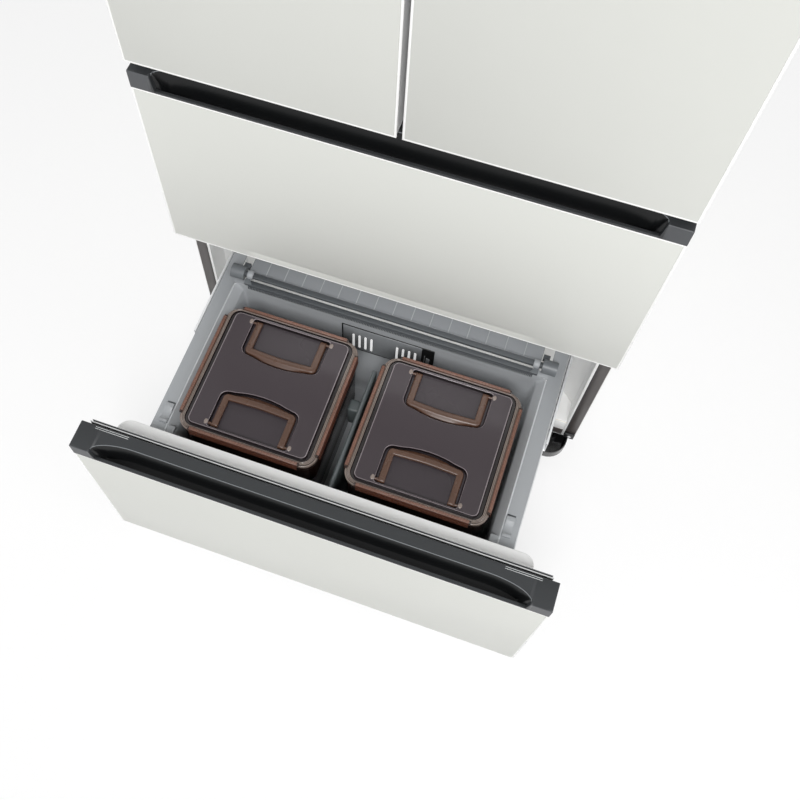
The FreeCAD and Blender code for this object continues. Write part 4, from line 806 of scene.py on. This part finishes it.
def clip(side, place, axis, sign):
    """One clip across an axis (0 or 1), on the lid's low (-1) or high (1) edge."""
    low, high = span(f"{side}_clip_{place}")
    lid_low, lid_high = span(f"{side}_lid")
    middle = (low + high) / 2
    run = (high[1 - axis] - low[1 - axis]) / 2
    hinge = high.z - 3.5
    edge = lid_high[axis] if sign > 0 else lid_low[axis]

    def ring(along, points):
        """The points as corners at one place along the clip."""
        made = []
        for out, z in points:
            corner = [0, 0, hinge + z]
            corner[axis] = edge + sign * out
            corner[1 - axis] = middle[1 - axis] + along
            made.append(tuple(corner))
        return made

    half = run - 3.2
    bar = loft("bar", [ring(-half, clip_profile), ring(half, clip_profile)],
               [clip_brown, clip_top_painted_highlight, clip_shadow])
    # Ridge tops take the painted highlight, groove floors the painted shade
    for face in bar.data.polygons:
        if len(face.vertices) == 4:
            height = face.center.z * 1000 - hinge
            face.material_index = 1 if height > 3.3 else 2 if 2.7 < height < 3.2 else 0
    soften(bar, 0.3, 2, 40)
    round_bar = [(-1.2 + 3.1 * c, 3.1 * s) for c, s in circle(14)]
    # The hinge pin under the bar takes the painted shade
    pin = loft("pin", [ring(-run + 0.2, round_bar), ring(run - 0.2, round_bar)], [clip_shadow])
    fit(joined(f"{side}_{place}_clip", [bar, pin]), f"{side}_clip_{place}", "copper_brown_clip",
        f"{side}_clip_{place}")


for side in ("left", "right"):
    for place, axis, sign in (("front", 1, -1), ("back", 1, 1), ("left", 0, -1), ("right", 0, 1)):
        clip(side, place, axis, sign)

# ---- Bails ----
# Each lid has two brown moulded bails that fold flat into its pockets: two legs on pins and a
# broad arched grip with a softly creased top.

# Brown polypropylene, duller than the lid, with a soft mottled tone
bail_brown = finish("brown_moulded_pp", "#5A3F31", "#452F24", 30, 0.8, 0.010, 0.22, 0.34)


def bail(side, place, way):
    """One bail: its path runs up one leg, over the grip and down the other leg."""
    low, high = span(f"{side}_bail_{place}")
    centre_x, level = (low.x + high.x) / 2, (low.z + high.z) / 2
    pivot = low.y + 4 if way > 0 else high.y - 4
    leg_x, reach, corner = 60.5, 55.0, 3.5
    path = [(-leg_x, y, 0) for y in (0, 10, 30, reach - corner - 3)]
    path += [(-leg_x + corner * (1 - cos(a)), reach - corner * (1 - sin(a)), 0)
             for a in (radians(d) for d in (10, 25, 40, 55, 70, 85))]
    path += [(x, reach + 4.6 * (1 - (x / 52) ** 2), 0) for x in (-50, -40, -30, -20, -10, 0)]
    path += [(-x, y, z) for x, y, z in path[-2::-1]]
    total = len(path)

    def ring(at, across, width, thick, crease):
        """The section at a point of the path; crease 0 is a flat top and 1 a sloped one."""
        section = [(-0.5, -0.36), (-0.44, -0.5), (0.44, -0.5), (0.5, -0.36), (0.5, -0.1),
                   (0.46, 0.1 - 0.2 * crease), (0.36 - 0.26 * crease, 0.44), (0.1, 0.5),
                   (-0.34, 0.49), (-0.46, 0.38), (-0.5, 0.2)]
        return [(centre_x + at[0] + across[0] * u * width,
                 pivot + way * (at[1] + across[1] * u * width), level + v * thick)
                for u, v in section]

    rings = [ring((-leg_x, -3.9 * sin(radians(turn)), 0), (-1, 0), 13,
                  8 * cos(radians(turn)), 0) for turn in (80, 55, 25)]
    for i, at in enumerate(path):
        before, after = path[max(i - 1, 0)], path[min(i + 1, total - 1)]
        run = Vector((after[0] - before[0], after[1] - before[1])).normalized()
        middle = ease(-abs(at[0]), -56, -20)
        rings.append(ring(at, (-run.y, run.x), 12.5 + 4.5 * middle, 8, middle))
    rings += [ring((leg_x, -3.9 * sin(radians(turn)), 0), (1, 0), 13,
                   8 * cos(radians(turn)), 0) for turn in (25, 55, 80)]
    bow = loft("bow", rings, [bail_brown])
    smooth = bow.modifiers.new("smooth", "SUBSURF")
    smooth.levels = smooth.render_levels = 1
    pins = []
    for end in (-1, 1):
        pins.append(loft("pin", [[(centre_x + end * x, pivot + 2.4 * c, level + 2.4 * s)
                                  for c, s in circle(12)] for x in (60, 73.6)], [bail_brown]))
    fit(joined(f"{side}_{place}_bail", [bow] + pins), f"{side}_bail_{place}", "dark_brown_bail",
        f"{side}_bail_{place}")


for side in ("left", "right"):
    bail(side, "front", 1)
    bail(side, "back", -1)

# ---- Slides ----
# Each drawer hangs on a pair of three-part ball slides, rolled from zinc-plated steel strip:
# a cabinet member, a bright middle member with its balls and a thin drawer member.

# Zinc plate on rolled steel, bright with a faint spangle
bright_zinc = finish("zinc_plated_steel", "#E6E7E8", "#DADCDD", 30, 1.0, 0.002, 0.28, 0.38,
                     Metallic=0.45)
# Polished balls, and black bumpers that stop the light at the slides' ends
ball_steel = finish("hardened_ball_steel", "#C9CBCD", "#BFC1C3", 3, 0.3, 0.001, 0.10, 0.16,
                    Metallic=1.0)
nylon = finish("black_nylon", "#1C1C1D", "#161617", 20, 0.8, 0.01, 0.40, 0.50)


strip = 1.4  # thickness of the rolled steel


def slide_member(name, outer, low, high, lips):
    """A C-shaped strip on each side; lips says how far its edges turn in from outer, in mm."""
    pieces = []
    for sign in (-1, 1):
        web = [(outer, low.z), (outer, high.z), (outer - lips, high.z),
               (outer - lips, high.z - strip), (outer - strip, high.z - strip),
               (outer - strip, low.z + strip), (outer - lips, low.z + strip),
               (outer - lips, low.z)]
        rings = [[(sign * u, y, v) for u, v in web] for y in (low.y, high.y)]
        pieces.append(soften(loft(name, rings, [bright_zinc]), 0.4))
    return pieces


ball_step = 13
for label in ("lower", "middle"):
    low, high = span(f"{label}_slide_outer")
    pieces = slide_member("outer", 338, low, high, 11)
    for sign in (-1, 1):
        pieces.append(flank("bumper", sign, (331, 336.6), (low.y + 0.2, low.y + 9),
                            (low.z + 6, high.z - 6), nylon, 1.0))
        for spot in (0.12, 0.5, 0.88):
            y = low.y + spot * (high.y - low.y)
            pieces.append(row("rivet", "round", bright_zinc, 1,
                              (sign * 336.2, y, (low.z + high.z) / 2), (1, 0, 0), (9, 0, 1.6),
                              (0, 90, 0)))
    fit(joined(f"{label}_slide_cabinet_member", pieces), "cabinet", "slide_steel",
        f"{label}_slide_outer")
    low, high = span(f"{label}_slide_middle")
    pieces = slide_member("middle", 329.6, low, high, 4.2)
    count = int((high.y - low.y - 60) // ball_step)
    for sign in (-1, 1):
        for z in (low.z + 4.4, high.z - 4.4):
            pieces.append(row("balls", "ball", ball_steel, count, (sign * 327.4, low.y + 40, z),
                              (0, ball_step, 0), (5, 5, 5)))
    fit(joined(f"{label}_slide_middle_member", pieces), f"{label}_slide", "slide_steel",
        f"{label}_slide_middle")
    low, high = span(f"{label}_slide_inner")
    pieces = slide_member("inner", 324.4, low, high, 2.0)
    for sign in (-1, 1):
        pieces.append(row("screws", "screw", bright_zinc, 5, (sign * 323.6, low.y + 45, low.z + 16),
                          (0, 78, 0), (7, 0, 2.2), (0, 90, 0)))
    fit(joined(f"{label}_slide_drawer_member", pieces), f"{label}_drawer", "slide_steel",
        f"{label}_slide_inner")

# ---- Front frame, liners and foam ----
# The seals close on a dark steel frame screwed over the cabinet's front edges. The liners are
# vacuum-formed white sheet, each with a lip that laps the frame, with foam behind them.

# Glossy white sheet, brown-black enamel, a black trim line, dull foam, bright screws
white_liner = finish("white_hips_liner", "#F7F7F6", "#F1F1EF", 200, 1.4, 0.008, 0.30, 0.40)
dark_rim = finish("brown_black_enamel", "#433D3B", "#3C3634", 120, 1.0, 0.010, 0.36, 0.46)
rim_edge = finish("black_soft_trim", "#121111", "#0E0D0D", 60, 1.0, 0.010, 0.50, 0.60)
foam = finish("polyurethane_foam", "#D9C79A", "#C9B583", 12, 1.5, 0.3, 0.80, 0.95)
screw_steel = finish("nickel_plated_screw", "#DADBDC", "#CBCCCE", 5, 0.3, 0.002, 0.18, 0.28,
                     Metallic=0.8)

for name in ("lower_liner", "middle_liner", "upper_liner"):
    traced(f"{name}_sheet", name, "cabinet", "white_liner", white_liner, 1.4)
traced("foam_fill", "cabinet_insulation", "cabinet", "insulating_foam", foam, 0.8)

screw_head = (8, 0, 1.6)  # across and thick
frame_low, frame_high = span("front_frame")
y0, y1 = frame_low.y + 0.05, frame_high.y
strips = []
for sign in (-1, 1):
    for inner, outer, made in ((377, 396.4, dark_rim), (375.2, 377, rim_edge),
                               (370.2, 375.2, white_liner)):
        strips.append(flank("stile", sign, (inner, outer), (y0, y1),
                            (frame_low.z + 0.2, frame_high.z - 0.2), made, 0.3))
for low_z, high_z, made in ((36.2, 60, dark_rim), (60, 94, white_liner), (428.6, 486.6, dark_rim),
                            (845.2, 903.2, dark_rim), (1767, 1826.8, dark_rim)):
    strips.append(block("rail", (-370.2, y0, low_z), (370.2, y1, high_z), made, 0.3))
strips.append(block("mullion", (-25, y0, 903.2), (25, y1, 1767), dark_rim, 0.3))
for sign in (-1, 1):
    strips.append(flank("foot_bracket", sign, (376, 396.4), (y0 - 5, y1), (37, 56.6), nylon, 1.2))
    strips.append(row("screw", "screw", screw_steel, 1, (sign * 386.5, y0 - 5.4, 48), (1, 0, 0),
                      screw_head, (90, 0, 0)))
fit(joined("front_frame_strips", strips), "cabinet", "dark_frame", "front_frame")

# ---- Base ----
# A zinc-plated floor pan stands on two screw feet in front and two wheels behind. A black
# moulded tray with big rounded corners covers the front of the base.

# Deep glossy black tray, dull black wheels and feet, dull spangled zinc sheet
black_abs = finish("black_gloss_abs", "#161617", "#111112", 90, 1.0, 0.006, 0.16, 0.26,
                   Coat_Weight=0.3, Coat_Roughness=0.08)
tyre = finish("black_nylon_tyre", "#202021", "#19191A", 20, 1.0, 0.02, 0.50, 0.60)
zinc = finish("zinc_plated_sheet", "#B9BBBC", "#A5A8AA", 24, 0.8, 0.01, 0.28, 0.42, Metallic=0.9)
traced("floor_pan", "base_pan", "cabinet", "zinc_steel", zinc, 0.5)

tray_low, tray_high = span("base_tray")
tray_front, tray_back = tray_low.y + 9, tray_high.y
tray_shape = [(6, 0.4), (2, 0.0), (0.4, 1.6), (0.2, 8), (0.6, 22), (0.6, 24.4), (1.4, 25.8),
              (2.6, 25.9), (3.6, 25), (3.9, 20), (4.6, 9), (7, 5.2), (12, 4.6)]
rings = [rounded(tray_high.x - inset, (tray_back - tray_front) / 2 - inset, 38 - inset,
                 tray_low.z + height, (0, (tray_front + tray_back) / 2))
         for inset, height in tray_shape]
tray_parts = [loft("tray", rings, [black_abs])]
foot_low, foot_high = span("front_feet")
foot_x, foot_y = 350, (foot_low.y + foot_high.y) / 2
for sign in (-1, 1):
    bosses = [[(sign * foot_x + radius * c, foot_y + radius * s, z) for c, s in circle(28)]
              for radius, z in ((15, 13), (15, 19), (14, 20), (9, 20), (8.4, 19), (8.4, 13))]
    tray_parts.append(loft("boss", bosses, [black_abs], wrap=True))
tray_parts.append(row("stiffeners", "box", black_abs, 9, (-280, tray_low.y + 75, tray_low.z + 8),
                      (70, 0, 0), (2.4, 120, 7)))
fit(joined("front_tray_moulding", tray_parts), "cabinet", "black_plastic", "base_tray")


def turned(name, centre, axis, profile, made, sides=32):
    """A turned piece: radii and places in mm along axis 0 (across) or 2 (up)."""
    rings = []
    for radius, along in profile:
        offsets = [(along, radius * c, radius * s) if axis == 0 else (radius * c, radius * s, along)
                   for c, s in circle(sides)]
        rings.append([tuple(at + by for at, by in zip(centre, offset)) for offset in offsets])
    return loft(name, rings, [made])


feet = []
for sign in (-1, 1):
    centre = (sign * foot_x, foot_y, 0)
    feet.append(turned("foot", centre, 2, [(20, 0), (21.6, 0.6), (22, 2), (22, 6.6), (21, 7.8),
                                           (8, 8), (5.9, 8.4), (5.9, 33.4), (5.2, 34)], tyre))
    for c, s in circle(12):
        feet.append(turned("grip", (centre[0] + 21.2 * c, centre[1] + 21.2 * s, 0), 2,
                           [(0.7, 1.4), (0.7, 6.8)], tyre, 8))
fit(joined("levelling_feet", feet), "cabinet", "black_plastic", "front_feet")

wheel_low, wheel_high = span("rear_rollers")
wheel_y, wheel_z = (wheel_low.y + wheel_high.y) / 2, (wheel_low.z + wheel_high.z) / 2
wheels = [turned("axle", (0, wheel_y, wheel_z), 0, [(3.4, wheel_low.x), (3.9, wheel_low.x + 0.8),
                                                    (3.9, wheel_high.x - 0.8), (3.4, wheel_high.x)],
                 zinc)]
for sign in (-1, 1):
    wheels.append(turned("wheel", (sign * 320, wheel_y, wheel_z), 0,
                         [(7, -10.9), (13.6, -10.9), (14.6, -10.2), (16.2, -9), (16.5, -7),
                          (16.5, 7), (16.2, 9), (14.6, 10.2), (13.6, 10.9), (7, 10.9)], tyre))
fit(joined("rear_wheels", wheels), "rear_rollers", "black_plastic", "rear_rollers")

# ---- Machine room ----
# Behind the lower drawer a black enamelled compressor stands on rubber mounts beside a finned
# condenser, with a five-bladed fan on its motor.

# Glossy black can, dead black rubber, bright fins and reddish tubes
black_enamel = finish("black_enamelled_steel", "#1C1C1D", "#131314", 60, 1.2, 0.015, 0.22, 0.34)
rubber = finish("black_mount_rubber", "#222223", "#1A1A1B", 20, 1.0, 0.03, 0.70, 0.80)
aluminium = finish("aluminium_fin_sheet", "#C8CBCD", "#B7BABD", 30, 0.6, 0.006, 0.26, 0.38,
                   Metallic=0.9)
copper = finish("bare_copper_tube", "#B87457", "#A05F43", 30, 0.6, 0.006, 0.24, 0.36, Metallic=1.0)
can_low, can_high = span("compressor")
can_x, can_y = (can_low.x + can_high.x) / 2, (can_low.y + can_high.y) / 2
shell_parts = [turned("can", (can_x, can_y, can_low.z), 2,
                      [(40, 24), (70, 25), (76, 30), (79, 40), (79.6, 60), (79.6, 96), (80, 97),
                       (80, 101), (79.6, 102), (79.6, 150), (79, 172), (74, 190), (62, 203),
                       (44, 210), (20, 213.6), (2, 213.9)], black_enamel, 48)]
shell_parts.append(block("mounting_plate", (can_low.x + 1, can_low.y + 1, can_low.z + 20),
                         (can_high.x - 1, can_high.y - 1, can_low.z + 24), black_enamel, 3))
shell_parts.append(block("terminal_cover", (can_x - 22, can_low.y + 6, can_low.z + 95),
                         (can_x + 22, can_low.y + 30, can_low.z + 145), black_abs, 4))
mount_out = 80
for x in (can_x - mount_out, can_x + mount_out):
    for y in (can_y - mount_out, can_y + mount_out):
        shell_parts += [turned("mount", (x, y, can_low.z), 2,
                               [(11.8, 0), (12, 1), (12, 6), (9, 8), (9, 12), (12, 14), (12, 19),
                                (11.4, 19.8)], rubber, 24),
                        turned("bolt", (x, y, can_low.z + 24), 2, [(5, 0), (5, 3.4), (4.2, 4)],
                               screw_steel, 6)]
fit(joined("compressor_unit", shell_parts), "cabinet", "black_steel", "compressor")

coil_low, coil_high = span("condenser")
fin_end, axis_z = coil_low.x + 160, coil_low.z + 95
coil = [row("fins", "box", aluminium, 62, (coil_low.x + 4, can_y, axis_z), (2.5, 0, 0),
            (0.5, 146, 186))]
for x in (coil_low.x + 1.2, fin_end - 1.2):
    coil.append(block("end_plate", (x - 1.1, coil_low.y, coil_low.z), (x + 1.1, coil_high.y,
                                                                       coil_high.z), zinc, 0.6))
for level in range(6):
    for y in (-45, 0, 45):
        coil.append(turned("tube", (0, can_y + y, coil_low.z + 20 + 30 * level), 0,
                           [(4.6, coil_low.x + 0.1), (4.6, fin_end - 0.1)], copper, 12))
coil.append(turned("motor", (fin_end, can_y, axis_z), 0,
                   [(15, 0), (17.6, 1.4), (18, 4), (18, 34), (16.6, 38), (10, 40), (9, 45.6),
                    (3, 45.8), (3, 65.8), (2.4, 66)], black_enamel))
fit(joined("condenser_block", coil), "cabinet", "zinc_steel", "condenser")

fan_low = span("condenser_fan")[0]
hub = [turned("hub", (fan_low.x, can_y, axis_z), 0,
              [(3.1, 0.4), (17, 0.4), (19.4, 1.6), (20, 4), (20, 17), (18.6, 19.4), (3.1, 19.6)],
              black_abs)]
for i in range(5):
    spin = Matrix.Rotation(tau * i / 5, 3, "X")
    rings = []
    for radius, chord, pitch in ((17, 26, 40), (30, 34, 34), (48, 42, 28), (64, 44, 24),
                                 (73, 34, 22), (74.6, 20, 22)):
        a = radians(pitch)
        ring = []
        for u, v in ((-0.5, -0.3), (0, -0.9), (0.5, -0.3), (0.5, 0.3), (0, 0.3), (-0.5, 0.3)):
            along, rise = u * chord, v
            place = spin @ Vector((8.5 + along * sin(a) * 0.42 + rise, along * cos(a), radius))
            ring.append((fan_low.x + place.x, can_y + place.y, axis_z + place.z))
        rings.append(ring)
    hub.append(loft("blade", rings, [black_abs]))
fit(joined("fan_rotor", hub), "condenser_fan", "black_plastic", "condenser_fan")

# ---- Back ----
# A flat coated steel sheet closes the back, with four pressed stiffening ribs and a row of
# screws down each side. Below it a louvred cover closes the machine room.

# Coated steel with a faint spangle, slightly darker on the louvred cover
grey_sheet = finish("galvanised_back_sheet", "#D5D7D8", "#C9CBCC", 18, 0.8, 0.008, 0.34, 0.46,
                    Metallic=0.35)
back_low, back_high = span("back_panel")
back = [block("sheet", (back_low.x, back_low.y, back_low.z), back_high, grey_sheet, 0.3)]
rib_low, rib_long, rib_top = 430, 1390, 1780
for x in (-270, -90, 90, 270):
    rings = [[(x + u * w, back_high.y + h,
               min(rib_low + (rib_long if v > 0 else 0) + v * w, rib_top))
              for u, v in ((-1, -1), (1, -1), (1, 1), (-1, 1))]
             for w, h in ((17, -0.4), (16, 0.3), (11, 2.2), (9, 2.4))]
    back.append(soften(loft("pressed_rib", rings, [grey_sheet]), 0.8))
for x in (-388, 388):
    back.append(row("screws", "screw", screw_steel, 9, (x, back_high.y + 0.6, 370), (0, 0, 175),
                    screw_head, (90, 0, 0)))
fit(joined("back_sheet", back), "cabinet", "painted_steel_white", "back_panel")

grey_cover = finish("galvanised_louvred_sheet", "#C4C6C8", "#B6B9BB", 18, 0.8, 0.008, 0.34, 0.46,
                    Metallic=0.5)
traced("louvred_cover_plate", "machine_cover", "cabinet", "painted_steel_white", grey_cover, 0.25)
cover_high = span("machine_cover")[1]
louvres = [row("louvres", "box", grey_cover, 6, (x, cover_high.y + 1.8, 134.5), (0, 0, 24),
               (221, 1.0, 9.5), (-32, 0, 0)) for x in (-190, 190)]
for z in (44, 322):
    louvres.append(row("screws", "screw", screw_steel, 5, (-380, cover_high.y + 0.6, z),
                       (190, 0, 0), screw_head, (90, 0, 0)))
fit(joined("louvres_and_screws", louvres), "cabinet", "painted_steel_white")

# ---- Hinges ----
# Zinc-plated steel plates carry each door on pins above and below. A black moulded cap hides
# each top plate.

traced("hinge_plates", "door_hinges", "cabinet", "zinc_steel", zinc, 0.6)
traced("hinge_caps", "hinge_covers", "cabinet", "black_plastic", black_abs, 3.0)
bolts = [row("bolts", "screw", screw_steel, 2, (x, -60, 1853.2), (0, 30, 0), (7, 0, 1.2))
         for x in (-372, 372)]
fit(joined("hinge_cap_screws", bolts), "cabinet", "zinc_steel")

# ---- Door bins and shelves ----
# The doors carry clear moulded bins between the ribs of their inner faces, and toughened
# glass shelves with a grey front trim rest on the ledges of the upper liner.

# Toughened glass and clear polystyrene, both with a faint cool tint
glass = finish("toughened_glass", "#EDF5F1", "#E6F0EB", 300, 40, 0.002, 0.02, 0.04,
               Transmission_Weight=0.9, IOR=1.5)
clear_ps = finish("clear_polystyrene", "#EAF0F2", "#E2EAED", 200, 20, 0.003, 0.06, 0.12,
                  Transmission_Weight=0.75, IOR=1.5)
for side in ("left", "right"):
    traced(f"{side}_bins", f"{side}_door_bins", f"{side}_door", "clear_plastic", clear_ps, 1.0)
traced("glass_shelves", "shelves", "cabinet", "clear_glass", glass, 0.6)
shelf_low, shelf_high = span("shelves")
trims, shelf_step = [], 215
for level in range(3):
    z = shelf_low.z + shelf_step * level
    for x0, x1 in ((shelf_low.x + 1, -26), (26, shelf_high.x - 1)):
        trims.append(block("trim", (x0, shelf_low.y + 0.2, z - 1.5), (x1, shelf_low.y + 7, z + 6.5),
                           tub_grey, 1.2))
fit(joined("shelf_trims", trims), "cabinet", "grey_plastic")

# ---- Floor, light and camera ----
# A white studio floor and world, five square lamps, one of them over the open drawer, and a
# camera high in front of the drawers.



def seen_straight(tree):
    """1 where the camera sees this itself, mirrored or through glass, and 0 for other light."""
    path = add(tree, "ShaderNodeLightPath").outputs
    seen = path["Is Camera Ray"]
    for kind in ("Is Glossy Ray", "Is Transmission Ray"):
        seen = add(tree, "ShaderNodeMath", {0: seen, 1: path[kind]}, operation="MAXIMUM").outputs[0]
    return seen


white_floor = bpy.data.materials.new("white_floor")
white_floor.use_nodes = True
tree = white_floor.node_tree
paper = tree.nodes["Principled BSDF"]
paper.inputs["Base Color"].default_value = linear("#FFFFFF")
paper.inputs["Roughness"].default_value = 0.9
paper.inputs["Specular IOR Level"].default_value = 0.0
floor_glow = 0.72  # how far the floor as seen goes to plain white; the rest shows its shadow
share = add(tree, "ShaderNodeMath", {0: seen_straight(tree), 1: floor_glow}, operation="MULTIPLY")
sheen = add(tree, "ShaderNodeEmission", {"Color": (1, 1, 1, 1), "Strength": 1.0})
both = add(tree, "ShaderNodeMixShader", {0: share.outputs[0], 1: paper.outputs[0],
                                         2: sheen.outputs[0]})
tree.links.new(both.outputs[0], tree.nodes["Material Output"].inputs["Surface"])
floor_mesh = bpy.data.meshes.new("studio_floor")
reach = 6.0
floor_mesh.from_pydata([(-reach, -reach, 0), (reach, -reach, 0), (reach, reach, 0),
                        (-reach, reach, 0)], [], [(0, 1, 2, 3)])
floor_mesh.materials.append(white_floor)
floor = put("studio_floor", floor_mesh)

world = bpy.data.worlds.new("studio")
bpy.context.scene.world = world
world.use_nodes = True
tree = world.node_tree
background = tree.nodes["Background"]
background.inputs["Color"].default_value = (1, 1, 1, 1)
room_light = 0.30  # strength of the white world as light; as seen it is plain white
level = add(tree, "ShaderNodeMapRange",
            {"Value": seen_straight(tree), "To Min": room_light, "To Max": 1.0})
tree.links.new(level.outputs[0], background.inputs["Strength"])


def lamp(name, place, aim, size, watts):
    """A square lamp at a place in metres, turned to face another."""
    light = bpy.data.lights.new(name, "AREA")
    light.shape, light.size, light.energy = "SQUARE", size, watts
    made = put(name, light)
    made.location = place
    made.rotation_euler = (Vector(aim) - Vector(place)).to_track_quat("-Z", "Y").to_euler()


lamp("over_camera", (0.5, -3.0, 4.4), (0, -0.3, 0.5), 1.6, 146)
lamp("left", (-1.15, -0.85, 0.85), (0.1, -0.19, 0.55), 0.7, 2.6)
lamp("right", (1.25, -0.85, 0.85), (0.0, -0.19, 0.55), 0.7, 4)
lamp("inside", (0, -0.02, 0.425), (0, -0.1, 0.2), 0.5, 0.8)
lamp("back", (0.6, 2.6, 3.6), (0, 0.2, 1.0), 2.0, 12)

yaw, pitch, roll = -0.314, 1.118, -0.025
ahead = Vector((sin(yaw) * cos(pitch), cos(yaw) * cos(pitch), -sin(pitch)))
right = Vector((cos(yaw), -sin(yaw), 0))
down = ahead.cross(right)
turned_right = cos(roll) * right + sin(roll) * down
turned_down = -sin(roll) * right + cos(roll) * down
lens = bpy.data.cameras.new("camera")
lens.lens, lens.sensor_width = 43.521, 36
lens.shift_x, lens.shift_y = 0.041666, -0.036915
camera = put("camera", lens)
camera.matrix_world = Matrix.Translation((0.222109, -0.985534, 1.887280)) @ Matrix(
    (turned_right, -turned_down, -ahead)).transposed().to_4x4()
bpy.context.scene.camera = camera
bpy.context.scene.view_settings.view_transform = "Standard"
